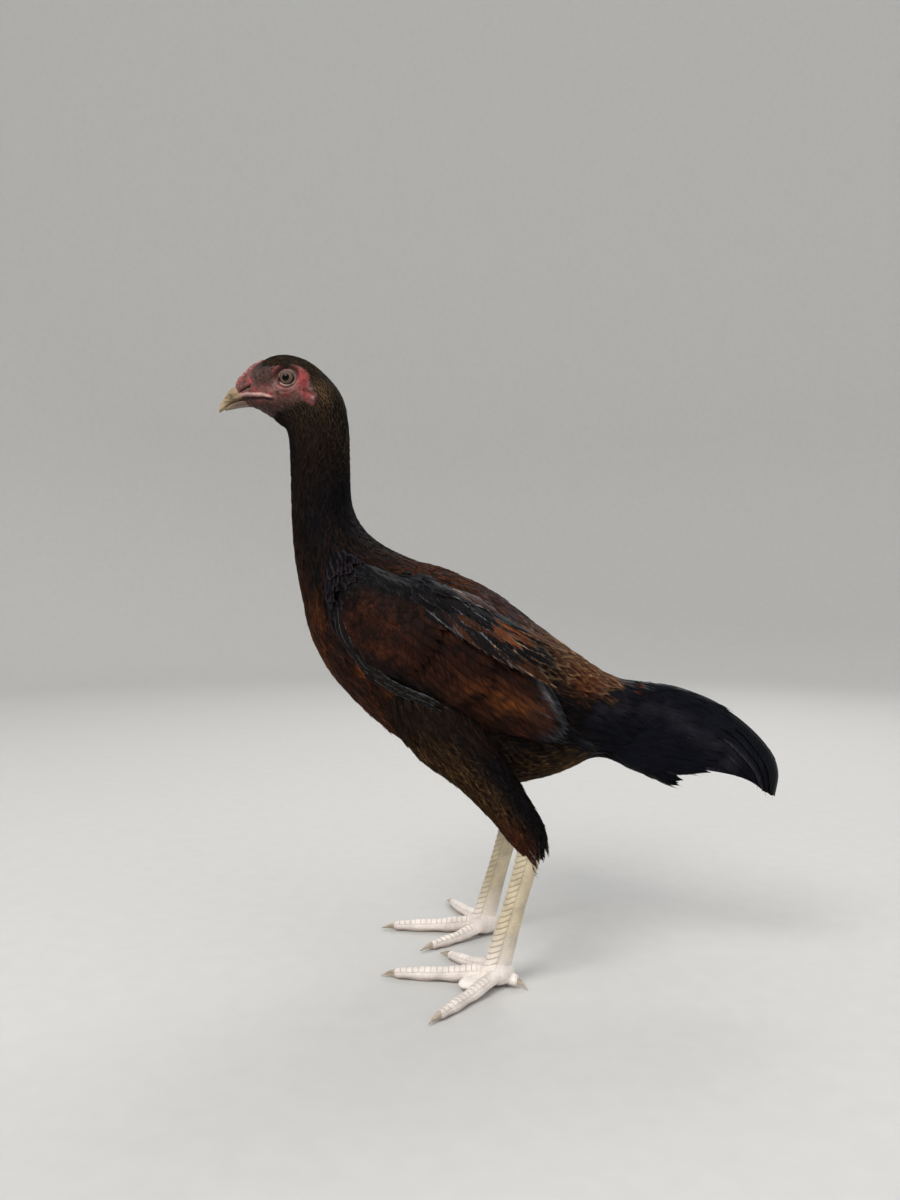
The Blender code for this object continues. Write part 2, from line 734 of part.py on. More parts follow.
def foot_toes(word, side, stagger):
    """The three front toes and the hind toe of one foot, each with its claw."""
    _, _, foot = leg_path(side, stagger)
    for name, (turns, reach, beside, thick) in TOES.items():
        root, ahead = toe_frame(side, foot, turns[side > 0], beside)
        obj = toe_tube(f"toe_{word}_{name}", root, ahead, reach, thick, TOE_SCUTES)
        cutters = [foot_pad("pad_cutter", side, foot, GAP)]
        if name != "middle":
            m_turns, m_reach, m_beside, m_thick = TOES["middle"]
            m_root, m_ahead = toe_frame(side, foot, m_turns[side > 0], m_beside)
            cutters.append(toe_tube("toe_cutter", m_root, m_ahead, m_reach, m_thick, TOE_SCUTES, GAP))
        cut(obj, cutters)
        finish(obj, SCALE, 25)
        start = root + ahead * (reach * MM + GAP) + Vector((0, 0, 3.6 * MM))
        claw(f"claw_{word}_{name}", start, ahead, CLAW_LENGTH, 2.6 * MM, 1.4 * MM)
    hind_toe(word, side, foot)


def hind_toe(word, side, foot):
    """The hind toe, set high on the back of the foot and reaching down to the floor."""
    angle = math.radians(24)
    ahead = Vector((math.cos(angle), side * math.sin(angle), 0))
    high = foot + Vector((4, 0, 6)) * MM
    low = foot + ahead * 16 * MM
    low.z = 5.2 * MM
    path, across, depth = [], [], []
    for k in range(5):
        t = k / 4
        point = high.lerp(low, t)
        half = (4.8 - 1.2 * t) * MM
        path.append(point)
        across.append(half)
        depth.append(half)
    obj = tube(f"toe_{word}_hind", path, across, depth, 8)
    _, hock, _ = leg_path(side, foot.x)
    cut(obj, [shank_body("shank_cutter", hock, foot, GAP), foot_pad("pad_cutter", side, foot, GAP)])
    finish(obj, SCALE, 25)
    step = (path[-1] - path[-2]).normalized()
    claw(f"claw_{word}_hind", path[-1] + step * GAP, ahead, 6.5 * MM, 2.4 * MM, 1.0 * MM, step)


def head():
    """The head: brows, sockets and lids, cheeks, nostrils and the line of the mouth."""
    obj = body_part("head", "nape", "bill_root", 2, 20, gap_first=GAP)
    added, removed = [], []
    x, y, z = EYE_CENTRE
    for side in (-1, 1):
        removed.append(ellipsoid("orbit", (x, side * 21.4 * MM, z), (10.5 * MM, 7.6 * MM, 9 * MM), 14, 8))
    cut(obj, removed)
    for side in (-1, 1):
        added.append(lid_ring(side))
        added.append(ellipsoid("brow", (x - 1 * MM, side * 11.2 * MM, z + 8.6 * MM), (13 * MM, 4.4 * MM, 4 * MM),
                               12, 6, (0, -6, side * -13)))
        added.append(ellipsoid("fold", (-134.4 * MM, side * 14.6 * MM, 416 * MM), (4.6 * MM, 2.9 * MM, 8.5 * MM),
                               10, 6, (0, 8, side * -8)))
    fuse(obj, added)
    removed = []
    for side in (-1, 1):
        radius = EYE_RADIUS + GAP
        removed.append(ellipsoid("eye_cutter", (x, side * y, z), (radius,) * 3, 12, 8))
        removed.append(ellipsoid("nostril", (NOSTRIL[0], side * NOSTRIL[1], NOSTRIL[2]),
                                 (3.6 * MM, 2.2 * MM, 1.1 * MM), 10, 6, (0, -25, side * -14)))
        removed.append(mouth_slit(side))
    cut(obj, removed)
    return finish(obj, FACE_SKIN)


def lid_ring(side):
    """The rim of the lids: a ring round the eye, a little taller in front than behind."""
    x, y, z = EYE_CENTRE
    rings = []
    count = 16
    for k in range(count):
        angle = 2 * math.pi * k / count
        out = Vector((math.cos(angle), 0, math.sin(angle) * 0.92))
        centre = Vector((x, side * (y + 5.0 * MM), z)) + out * 6.5 * MM
        ring = []
        for j in range(6):
            turn = 2 * math.pi * j / 6
            ring.append(centre + out * math.cos(turn) * 1.5 * MM + Vector((0, side * math.sin(turn) * 1.7 * MM, 0)))
        rings.append(ring)
    points = [p for ring in rings for p in ring]
    faces = []
    for k in range(count):
        for j in range(6):
            n, m = (k + 1) % count, (j + 1) % 6
            faces.append((k * 6 + j, k * 6 + m, n * 6 + m, n * 6 + j))
    return mesh_object("lid", points, faces)


def mouth_slit(side):
    """The cutter of the mouth's line on one side, from the bill to the corner of the mouth."""
    front, corner = Vector(MOUTH_FRONT), Vector(MOUTH_CORNER)
    front.y, corner.y = side * front.y, side * corner.y
    middle = (front + corner) / 2
    along = corner - front
    length = along.length
    bm = bmesh.new()
    bmesh.ops.create_cube(bm, size=1)
    mesh = bpy.data.meshes.new("mouth_slit")
    bm.to_mesh(mesh)
    bm.free()
    turning = along.to_track_quat("X", "Z").to_matrix().to_4x4()
    mesh.transform(Matrix.Translation(middle) @ turning @ Matrix.Diagonal((length, 6 * MM, MOUTH_SLIT, 1)))
    obj = bpy.data.objects.new("mouth_slit", mesh)
    bpy.context.scene.collection.objects.link(obj)
    return obj


def ear(name, side):
    """The ear: a feathered cup with its rim, and the small red lobe under it."""
    x, y, z = EAR_CENTRE
    obj = ellipsoid(name, (x, side * y, z), (5.6 * MM, 3.1 * MM, 6.6 * MM), 12, 7)
    lobe = ellipsoid("lobe", (x - 1 * MM, side * (y + 0.3 * MM), z - 9.6 * MM), (3.4 * MM, 2.6 * MM, 5.4 * MM), 9, 6)
    fuse(obj, [lobe])
    cup = ellipsoid("cup", (x, side * (y + 3.5 * MM), z), (3.4 * MM, 2.0 * MM, 4.2 * MM), 10, 6)
    cut(obj, [cup, head_cutter()])
    return finish(obj, FACE_SKIN)


def comb():
    """The low pea comb: three rows of small knobs from the root of the bill over the forehead."""
    start, end = STATION_NAMES.index("eye") + 0.7, STATION_NAMES.index("bill_root") - 0.12
    rings = [body_ring(start + (end - start) * k / 60, 60) for k in range(61)]
    reach = [0.0]
    for before, after in zip(rings, rings[1:]):
        reach.append(reach[-1] + (after[0] - before[0]).length)
    knobs = []
    for row, first, count, big in ((0, 0.0, 9, 2.55), (-1, 0.28, 5, 2.1), (1, 0.28, 5, 2.1)):
        for k in range(count):
            share = first + (1 - first) * k / (count - 1)
            ring = rings[min(60, int(np.searchsorted(reach, share * reach[-1])))]
            size = big * (0.75 + 0.3 * math.sin(math.pi * (k + 0.8) / count)) * (1 + 0.08 * math.sin(5 * k + row)) * MM
            root = ring[(row * 3) % 60]
            centre = root + (root - ring[30]).normalized() * size * 0.15
            knobs.append(ellipsoid("knob", centre, (size * 1.15, size * 0.95, size), 7, 5))
    obj = knobs[0]
    obj.name = "comb"
    fuse(obj, knobs[1:])
    cut(obj, [head_cutter()])
    return finish(obj, FACE_SKIN)


def bill_part(name, widest, rows):
    """A horn half of the bill: rows of its top point (x, z), its bottom point (x, z) and its half width.

    widest says where between the bottom and the top it is widest."""
    rings = []
    count = 12
    for top_x, top_z, low_x, low_z, half_width in rows:
        top, low = Vector((top_x, 0, top_z)) * MM, Vector((low_x, 0, low_z)) * MM
        ring = []
        for k in range(count):
            angle = 2 * math.pi * k / count
            c, s = math.cos(angle), math.sin(angle)
            share = widest + ((1 - widest) if c > 0 else -widest) * abs(c) ** 0.9
            ring.append(low.lerp(top, share) + Vector((0, half_width * math.copysign(abs(s) ** 0.8, s) * MM, 0)))
        rings.append(ring)
    return loft(name, rings)


def bill():
    """Both halves of the stout, hooked bill, with the mouth's line between them."""
    upper = bill_part("bill_upper", 0.22, (
        (-187.6, 417.6, -180.4, 406.9, 7.0),
        (-192.4, 415.0, -187.0, 405.6, 6.0),
        (-195.4, 411.8, -191.0, 404.4, 4.9),
        (-198.4, 408.0, -194.6, 402.8, 3.9),
        (-200.8, 404.0, -197.6, 400.9, 2.9),
        (-202.1, 400.8, -199.9, 399.0, 1.8),
        (-202.2, 398.4, -201.4, 397.8, 0.7),
    ))
    lower = bill_part("bill_lower", 0.78, (
        (-180.3, 406.0, -178.3, 402.0, 5.9),
        (-187.0, 405.1, -185.2, 401.4, 5.0),
        (-191.0, 403.9, -189.6, 400.6, 3.9),
        (-194.6, 402.3, -193.8, 399.8, 2.7),
        (-197.4, 400.5, -197.2, 399.3, 1.3),
    ))
    for part in (upper, lower):
        cut(part, [head_cutter()])
        finish(part, HORN)


def eyes():
    """Both eyeballs."""
    x, y, z = EYE_CENTRE
    for word, side in (("left", -1), ("right", 1)):
        finish(ellipsoid(f"eye_{word}", (x, side * y, z), (EYE_RADIUS,) * 3, 12, 8), EYE)


def main():
    """Builds the bird."""
    remove(list(bpy.data.objects))
    finish(fuse(body_part("torso", "tail_root", "neck_base", 2, 24), under_coverts()), PLUMAGE)
    finish(body_part("neck", "neck_base", "nape", 2, 20, gap_first=GAP), PLUMAGE)
    head()
    comb()
    bill()
    eyes()
    tail()
    for word, side, stagger in (("left", -1, FOOT_STAGGER / 2), ("right", 1, -FOOT_STAGGER / 2)):
        ear(f"ear_{word}", side)
        thigh(f"thigh_{word}", side, stagger)
        shank(f"shank_{word}", side, stagger)
        foot_toes(word, side, stagger)
        wing(f"wing_{word}", side, [thigh_cutter(side, stagger)])


main()
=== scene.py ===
"""Looks of the standing game pullet: skin, plumage, face, bill, legs and a plain studio.

Lengths are metres unless a name, a comment or a docstring says mm. The bird faces -X, its left side is
towards -Y and the floor is z = 0. The forms repeat the named sizes of the solids, so every piece lies where
its node lies.
"""

from __future__ import annotations

import logging
import math
from collections.abc import Callable
from dataclasses import dataclass, field
from enum import Enum
from functools import partial

import bmesh
import bpy
import numpy as np
from mathutils import Matrix, Vector

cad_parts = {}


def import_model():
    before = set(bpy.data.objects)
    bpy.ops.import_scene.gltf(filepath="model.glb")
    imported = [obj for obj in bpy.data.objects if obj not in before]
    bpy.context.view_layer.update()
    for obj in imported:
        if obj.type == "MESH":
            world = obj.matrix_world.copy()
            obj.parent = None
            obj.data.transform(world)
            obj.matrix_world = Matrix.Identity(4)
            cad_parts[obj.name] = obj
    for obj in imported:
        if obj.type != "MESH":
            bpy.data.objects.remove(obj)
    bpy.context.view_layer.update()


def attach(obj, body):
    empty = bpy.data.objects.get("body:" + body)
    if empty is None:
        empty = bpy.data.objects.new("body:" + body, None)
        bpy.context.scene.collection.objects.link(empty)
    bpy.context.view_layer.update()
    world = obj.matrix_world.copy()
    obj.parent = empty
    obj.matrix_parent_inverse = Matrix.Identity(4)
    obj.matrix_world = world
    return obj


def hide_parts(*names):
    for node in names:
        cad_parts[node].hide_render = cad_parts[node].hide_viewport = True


log = logging.getLogger("pullet")
MM = 0.001
TURN = 2 * math.pi
SEED = 11
BODY = "root"
UP = np.array((0.0, 0.0, 1.0))
ACROSS = np.array((0.0, 1.0, 0.0))
Array = np.ndarray
Chance = np.random.Generator
Colour = tuple[float, float, float]
Material = bpy.types.Material
Object = bpy.types.Object
Socket = bpy.types.NodeSocket


class Side(Enum):
    """A side of the bird, with the sign of its y."""

    LEFT = -1
    RIGHT = 1

    @property
    def word(self) -> str:
        """The side's name in lower case."""
        return self.name.lower()


# Colours of skin and plumage, linear red, green, blue

BLACK: Colour = (0.0038, 0.0038, 0.0048)
SOOT: Colour = (0.0090, 0.0064, 0.0054)
UMBER: Colour = (0.020, 0.0095, 0.0060)
MAHOGANY: Colour = (0.038, 0.0125, 0.0075)
CHESTNUT: Colour = (0.070, 0.022, 0.0090)
RUST: Colour = (0.150, 0.046, 0.012)
TAN: Colour = (0.220, 0.130, 0.070)
OLIVE: Colour = (0.042, 0.028, 0.014)
GOLD: Colour = (0.090, 0.050, 0.018)
SLATE: Colour = (0.040, 0.042, 0.050)
ASH: Colour = (0.180, 0.180, 0.185)
PLUM: Colour = (0.022, 0.019, 0.025)
FLECK: Colour = (0.38, 0.37, 0.35)
FACE_PINK: Colour = (0.160, 0.064, 0.058)
FACE_RED: Colour = (0.280, 0.036, 0.036)
FACE_DARK: Colour = (0.040, 0.015, 0.011)
LORES: Colour = (0.042, 0.016, 0.011)
LIP_PALE: Colour = (0.560, 0.340, 0.300)
THROAT: Colour = (0.034, 0.011, 0.008)
LID_PALE: Colour = (0.330, 0.220, 0.195)
# Painted shade for the fold over the eye.
LID_FOLD_SHADE: Colour = (0.035, 0.007, 0.006)
# Painted shade for the mouth's slit.
MOUTH_SLIT_SHADE: Colour = (0.020, 0.006, 0.005)
COMB_PINK: Colour = (0.36, 0.130, 0.125)
COMB_RED: Colour = (0.25, 0.060, 0.058)
LOBE_RED: Colour = (0.15, 0.036, 0.036)

# Forms of the body, in mm, as the solids have them

# Point on the back line (x, z), point on the belly line (x, z), half width, where between them it is widest.
STATIONS = {
    "tail_root": (112, 198, 104, 137.5, 15, 0.62),
    "rump": (86, 204.5, 78, 148, 25, 0.55),
    "vent": (60, 221, 54, 138, 36, 0.5),
    "loin": (34, 240, 20, 129, 46, 0.5),
    "flank": (2, 264, -15, 134, 52, 0.5),
    "side": (-30, 279.5, -48, 150, 55, 0.5),
    "breast": (-57, 287.5, -80, 171, 54, 0.5),
    "crop": (-77, 297, -110, 200, 47, 0.5),
    "neck_base": (-90.5, 307, -128, 228, 37, 0.5),
    "neck_low": (-98.5, 318.5, -136.5, 258, 29, 0.5),
    "neck_bend": (-102.5, 331, -143, 290, 24, 0.5),
    "neck_mid": (-103.5, 346, -145.5, 322, 21, 0.5),
    "neck_high": (-103.7, 364, -146.3, 351, 19.5, 0.5),
    "neck_top": (-104.3, 384, -147.5, 374, 18.5, 0.5),
    "nape": (-106.5, 400, -150, 384, 18, 0.5),
    "occiput": (-111.5, 412, -155.5, 388.5, 18.2, 0.5),
    "ear": (-120, 422.5, -160.5, 392.5, 18.2, 0.5),
    "cheek": (-133, 433.5, -165, 395.5, 17, 0.5),
    "eye": (-149, 439, -169, 398, 15, 0.52),
    "brow": (-163, 437.5, -172.5, 400, 12.2, 0.52),
    "forehead": (-177, 429.5, -176, 401.3, 9.8, 0.5),
    "bill_root": (-189, 418.3, -179.5, 402, 7.2, 0.46),
}
LAST_STATION = len(STATIONS) - 1
# Share along the body, from the bill's root to the tail's, at which each station lies.
SHARE = {name: 1 - number / LAST_STATION for number, name in enumerate(STATIONS)}

EYE_CENTRE = np.array((-146.0, 8.9, 419.0))
EYE_RADIUS = 7.4
EAR_CENTRE = np.array((-124.5, 16.6, 410.8))
NOSTRIL_LINE = ((-183.2, 411.8), (-175.2, 414.9))
MOUTH_LINE = ((-189.0, 406.0), (-184.0, 406.3), (-174.0, 406.3), (-165.4, 405.6), (-156.5, 403.6))
# Middle and radii (x, z) of the patch of short down on each cheek.
CHEEK_DOWN = ((-143, 403.5), (9, 3.6))

FOOT_SPREAD = 91
FOOT_STAGGER = 15
HOCK_HEIGHT = 92


# Small sums


def clamp(values: Array, low: float = 0.0, high: float = 1.0) -> Array:
    """The values held between two limits."""
    return np.minimum(np.maximum(values, low), high)


def ease(values: Array, start: float, end: float) -> Array:
    """A smooth step from 0 at start to 1 at end, which may lie below start."""
    x = clamp((np.asarray(values, float) - start) / (end - start))
    return x * x * (3 - 2 * x)


def hump(distance: Array, width: float = 1.0) -> Array:
    """A soft rise that is 1 at distance 0 and falls away over a width."""
    return np.exp(-(distance / width) ** 2)


def oval(x: Array, z: Array, middle: tuple, radii: tuple) -> Array:
    """Distance from the middle of an ellipse, 1 on its line."""
    return np.hypot((x - middle[0]) / radii[0], (z - middle[1]) / radii[1])


def unit(vectors: Array) -> Array:
    """The vectors at length one."""
    return vectors / np.maximum(np.linalg.norm(vectors, axis=-1, keepdims=True), 1e-12)


def in_mm(points: Array) -> tuple[Array, ...]:
    """The x, the y and the z of points, in mm."""
    return tuple(points[..., axis] / MM for axis in range(3))


def mix(first: Array, second: Array, share: Array) -> Array:
    """A blend of two colour rows, by a share for each row."""
    share = np.asarray(share)[..., None]
    return np.asarray(first) * (1 - share) + np.asarray(second) * share


def washes(colour: Array, *layers: tuple) -> Array:
    """A colour with further ones laid over it in turn.

    Args:
        colour: the lowest colour.
        layers: pairs of a colour and its share at each place.

    Returns:
        One colour for each place.
    """
    for over, share in layers:
        colour = mix(colour, over, share)
    return colour


def smooth_rows(rows: tuple | Array, share: Array) -> Array:
    """Rows of a table read between its rows on a smooth curve.

    Args:
        rows: the table.
        share: where to read, from 0 at its first row to 1 at its last.

    Returns:
        One row for each share.
    """
    rows = np.asarray(rows, float)
    t = clamp(np.asarray(share, float)) * (len(rows) - 1)
    i = np.minimum(t.astype(int), len(rows) - 2)
    f = (t - i)[..., None]
    padded = np.vstack([2 * rows[0] - rows[1], rows, 2 * rows[-1] - rows[-2]])
    p0, p1, p2, p3 = (padded[i + k] for k in range(4))
    return 0.5 * (2 * p1 + (p2 - p0) * f + (2 * p0 - 5 * p1 + 4 * p2 - p3) * f**2
                  + (3 * p1 - p0 - 3 * p2 + p3) * f**3)


def by_station(table: dict, u: Array) -> Array:
    """A table of stations read at shares along the body.

    Args:
        table: station name to a row of numbers or of colours.
        u: shares along the body.

    Returns:
        One row for each share.
    """
    rows = np.array(list(table.values()), float)
    where = [SHARE[name] for name in table]
    read = np.stack([np.interp(u, where, column) for column in rows.reshape(len(rows), -1).T], axis=-1)
    return read.reshape(np.shape(u) + rows.shape[1:])


def mottle(points: Array, size: float, seed: int) -> Array:
    """Soft patches over space.

    Args:
        points: places, one row each.
        size: width of a patch, in mm.
        seed: picks the pattern.

    Returns:
        Values around 0, mostly between -1 and 1.
    """
    chance = np.random.default_rng(seed)
    total = np.zeros(points.shape[:-1])
    for _ in range(7):
        wave = chance.normal(size=3)
        wave *= TURN / (size * MM * 2 * np.linalg.norm(wave)) * chance.uniform(0.7, 1.5)
        total += np.sin(points @ wave + chance.uniform(0, TURN))
    return total / 2.4


def line_gap(x: Array, z: Array, line: tuple) -> tuple[Array, Array]:
    """Distance to a broken line in the side view, all in mm.

    Args:
        x: places along the bird.
        z: heights.
        line: corners (x, z).

    Returns:
        The distances, and the share of the line's length at each nearest point.
    """
    best, where = np.full(np.shape(x), np.inf), np.zeros(np.shape(x))
    pieces = len(line) - 1
    for k in range(pieces):
        (ax, az), (bx, bz) = line[k:k + 2]
        dx, dz = bx - ax, bz - az
        share = clamp(((x - ax) * dx + (z - az) * dz) / (dx * dx + dz * dz))
        gap = np.hypot(x - ax - share * dx, z - az - share * dz)
        nearer = gap < best
        best = np.where(nearer, gap, best)
        where = np.where(nearer, (k + share) / pieces, where)
    return best, where


def hoop(path: Array, first: Array, reach: Array, second: Array, width: Array, around: Array) -> Array:
    """Points on elliptic rings round a path.

    Args:
        path: the rings' middles.
        first: direction at which the rings start.
        reach: half size that way.
        second: direction a quarter turn on.
        width: half size that way.
        around: shares of a turn, one for each middle.

    Returns:
        One point for each middle.
    """
    angle = around * TURN
    return path + first * (reach * np.cos(angle))[:, None] + second * (width * np.sin(angle))[:, None]


# Surfaces


class Surface:
    """A smooth surface with two coordinates from 0 to 1, along and around, kept as a fine grid of points."""

    def __init__(self, points: Array, closed: bool, inside: Array | None = None) -> None:
        """Takes the grid.

        Args:
            points: grid of points, along by around.
            closed: whether the around coordinate runs in a ring.
            inside: points inside the form, one for each step along; the rings' middles if None.
        """
        self.points, self.closed = points, closed
        rows, columns = points.shape[:2]
        self.along = np.gradient(points, axis=0) * (rows - 1)
        if closed:
            ring = np.concatenate([points[:, -1:], points, points[:, :1]], axis=1)
            self.around = (ring[:, 2:] - ring[:, :-2]) / 2 * columns
        else:
            self.around = np.gradient(points, axis=1) * (columns - 1)
        normals = unit(np.cross(self.along, self.around))
        middles = points.mean(axis=1) if inside is None else inside
        self.handed = 1 if np.sum(normals * (points - middles[:, None])) > 0 else -1
        self.normals = normals * self.handed
        self.reach = np.stack([np.linalg.norm(k, axis=-1) for k in (self.along, self.around)], axis=-1)

    def _grid(self, grid: Array, u: Array, v: Array) -> Array:
        """Values of a grid between its nodes.

        Args:
            grid: the values.
            u: shares along.
            v: shares around.

        Returns:
            One value for each place.
        """
        rows, columns = grid.shape[:2]
        x = clamp(u) * (rows - 1)
        i = np.minimum(x.astype(int), rows - 2)
        if self.closed:
            y = (v % 1.0) * columns
            j = np.floor(y).astype(int) % columns
            k = (j + 1) % columns
            g = (y - np.floor(y))[..., None]
        else:
            y = clamp(v) * (columns - 1)
            j = np.minimum(y.astype(int), columns - 2)
            k = j + 1
            g = (y - j)[..., None]
        f = (x - i)[..., None]
        near = grid[i, j] * (1 - f) + grid[i + 1, j] * f
        far = grid[i, k] * (1 - f) + grid[i + 1, k] * f
        return near * (1 - g) + far * g

    def read(self, u: Array, v: Array) -> tuple[Array, Array]:
        """Points and outward directions at shares along and around; past its ends the surface runs on straight.

        Args:
            u: shares along.
            v: shares around.

        Returns:
            The points, and a direction of length one at each.
        """
        points = self._grid(self.points, u, v) + (u - clamp(u))[..., None] * self._grid(self.along, u, v)
        if not self.closed:
            points = points + (v - clamp(v))[..., None] * self._grid(self.around, u, v)
        return points, unit(self._grid(self.normals, u, v))

    def scale(self, u: Array, v: Array) -> tuple[Array, Array]:
        """How many metres one unit along, and one unit around, are at a place."""
        reach = self._grid(self.reach, u, v)
        return reach[..., 0], reach[..., 1]


class Form:
    """The bird's large forms, made once from the named sizes; tables are in mm."""

    WING_SHOULDER = (-95, 268)
    WING_SLOPE = math.radians(-32.4)
    # How far each wing stands off the middle plane along its length, and how it curves below and above
    # its crown.
    WING_CROWN = ((-16, 44), (-12, 47), (-4, 52), (5, 56), (20, 60), (40, 64), (70, 67), (105, 66.5),
                  (140, 60.5), (170, 53), (205, 41), (220, 36))
    WING_MIDDLE = -2
    WING_BOW_LOW, WING_BOW_HIGH = 8.1 * MM, 17.0 * MM
    WING_SPAN_A, WING_SPAN_B = (-16, 215), (-52, 46)
    # Distance from the shoulder, lower edge, upper edge.
    WING_OUTLINE = ((-9, -2, 10), (-4, -8, 18), (4, -17, 28), (14, -27, 34), (24, -34, 35), (40, -40, 34),
                    (62, -42, 38), (98, -34, 38), (128, -26, 30), (146, -19, 18), (154, -12, 8))
    TAIL_RIDGE = ((98, 199), (126, 197), (150, 189.5), (171, 178), (188, 163.5), (199, 149), (202.6, 136),
                  (200, 122))
    TAIL_LOWER = ((90, 152), (109, 146.5), (127, 144.5), (144, 143), (160, 140.5), (175, 136.5), (186, 130),
                  (192, 120))
    TAIL_HALF_WIDTH = ((15,), (19,), (22,), (22,), (19,), (15,), (10,), (7,))
    # Along, inwards, height, half size fore and aft, half size sideways.
    THIGH_ROWS = ((-43, -9, 210, 30, 15), (-40, -7, 190, 31, 19), (-29, -4, 168, 26, 19.5),
                  (-10, -2, 146, 19, 17), (8, -0.5, 122, 14.5, 14),
                  (20, 0, 103, 12.6, 12), (24.5, 0, 93, 9.8, 9.8))
    # The line (z, x) behind which the rump's feathers end and the tail's coverts begin.
    RUMP_END = ((145, 62), (160, 58), (182, 60), (198, 84), (204, 90))

    def __init__(self) -> None:
        """Builds the surfaces."""
        self.body = Surface(self.body_grid(), True)
        self.wings = {side: self.wing_surface(side) for side in Side}
        self.thighs = {side: Surface(self.thigh_grid(side), True) for side in Side}
        self.tail = self.tail_surface()

    @staticmethod
    def body_grid(rings: int = 400, around: int = 240) -> Array:
        """Points of the body from the bill's root to the tail's root, evenly spaced round each ring.

        Args:
            rings: number of rings.
            around: number of points on each.

        Returns:
            The grid of points.
        """
        share = np.linspace(1, 0, rings)
        rows = smooth_rows(list(STATIONS.values()), share)
        rows[:, :5] *= MM
        blend = clamp((share * LAST_STATION - 6) / 4)
        power = (2 / (2.3 * (1 - blend) + 2.0 * blend))[:, None]
        angle = np.linspace(0, TURN, 721)[None, :]
        c, s = np.cos(angle), np.sin(angle)
        zero = np.zeros(rings)
        back = np.stack([rows[:, 0], zero, rows[:, 1]], axis=-1)
        belly = np.stack([rows[:, 2], zero, rows[:, 3]], axis=-1)
        centre = belly + (back - belly) * rows[:, 5:6]
        tip = np.where((c > 0)[..., None], back[:, None], belly[:, None])
        ring = centre[:, None] + (tip - centre[:, None]) * (np.abs(c) ** power)[..., None]
        ring[..., 1] += np.sign(s) * np.abs(s) ** power * rows[:, 4:5]
        steps = np.linalg.norm(np.diff(ring, axis=1), axis=-1)
        reach = np.concatenate([np.zeros((rings, 1)), np.cumsum(steps, axis=1)], axis=1)
        wanted = np.arange(around) / around
        return np.array([[np.interp(wanted * far[-1], far, column) for column in one.T]
                         for far, one in zip(reach, ring)]).transpose(0, 2, 1)

    def wing_face(self, a: Array, b: Array) -> Array:
        """The right wing's smooth outer face.

        Args:
            a: distances from the shoulder towards the wing's tip, in mm.
            b: distances across it towards the back, in mm.

        Returns:
            The points.
        """
        cos, sin = math.cos(self.WING_SLOPE), math.sin(self.WING_SLOPE)
        off = b - self.WING_MIDDLE
        bow = np.where(off > 0, self.WING_BOW_HIGH, self.WING_BOW_LOW)
        table = np.array(self.WING_CROWN, float)
        crown = smooth_rows(table[:, 1:], np.interp(a, table[:, 0], np.linspace(0, 1, len(table))))[..., 0]
        return np.stack([self.WING_SHOULDER[0] + a * cos - b * sin, crown - bow * off**2,
                         self.WING_SHOULDER[1] + a * sin + b * cos], axis=-1) * MM

    def wing_surface(self, side: Side) -> Surface:
        """One wing's face, sampled over its spans.

        Args:
            side: which side of the bird.

        Returns:
            The surface.
        """
        a, b = np.meshgrid(np.linspace(*self.WING_SPAN_A, 180), np.linspace(*self.WING_SPAN_B, 90),
                           indexing="ij")
        points = self.wing_face(a, b) * (1, side.value, 1)
        return Surface(points, False, points.mean(axis=1) * (1, 0, 1))

    def wing_shares(self, a: Array, b: Array) -> tuple[Array, Array]:
        """The wing surface's coordinates of a place given in mm."""
        pairs = ((a, self.WING_SPAN_A), (b, self.WING_SPAN_B))
        return tuple((k - low) / (high - low) for k, (low, high) in pairs)

    def wing_edges(self, a: Array) -> tuple[Array, Array]:
        """The lower and the upper edge across a wing, at distances from the shoulder, all in mm."""
        table = np.array(self.WING_OUTLINE, float).T
        return np.interp(a, table[0], table[1]), np.interp(a, table[0], table[2])

    def wing_place(self, points: Array) -> tuple[Array, Array]:
        """Distances of points from the wing's shoulder, along the wing and across it, in mm.

        Args:
            points: the places.

        Returns:
            The distances along and the distances across.
        """
        dx, dz = (points[..., axis] / MM - at for axis, at in zip((0, 2), self.WING_SHOULDER))
        cos, sin = math.cos(self.WING_SLOPE), math.sin(self.WING_SLOPE)
        return dx * cos + dz * sin, -dx * sin + dz * cos

    def thigh_grid(self, side: Side) -> Array:
        """Points of one thigh from the belly down to the hock; around starts at its front.

        Args:
            side: which side of the bird.

        Returns:
            The grid of points.
        """
        rows = smooth_rows(self.THIGH_ROWS, np.linspace(0, 1, 90))
        stagger = -side.value * FOOT_STAGGER / 2 * clamp((210 - rows[:, 2]) / 115)
        path = np.stack([rows[:, 0] + stagger, side.value * (FOOT_SPREAD / 2 + rows[:, 1]), rows[:, 2]],
                        axis=-1)
        front = unit(np.cross(ACROSS, np.gradient(path, axis=0)))
        angle = np.linspace(0, TURN, 96, endpoint=False)[None, :, None]
        return (path[:, None] + front[:, None] * np.cos(angle) * rows[:, 3, None, None]
                + ACROSS * np.sin(angle) * rows[:, 4, None, None]) * MM

    def tail_surface(self) -> Surface:
        """The tail's tent; around runs from its lower left edge over the ridge to its lower right edge.

        Returns:
            The surface.
        """
        u, v = np.meshgrid(np.linspace(0, 1, 140), np.linspace(-1, 1, 81), indexing="ij")
        ridge, lower, half = (smooth_rows(rows, u) for rows in (self.TAIL_RIDGE, self.TAIL_LOWER,
                                                                self.TAIL_HALF_WIDTH))
        side = ridge + (lower - ridge) * np.abs(v)[..., None] ** 1.5
        points = np.stack([side[..., 0], half[..., 0] * np.sin(v * 1.35) / math.sin(1.35), side[..., 1]],
                          axis=-1) * MM
        return Surface(points, False, (points[:, 0] + points[:, -1]) / 2)

    def past_rump(self, points: Array) -> Array:
        """How far points lie behind the rump's end, in mm."""
        x, _, z = in_mm(points)
        return x - np.interp(z, *np.array(self.RUMP_END).T)

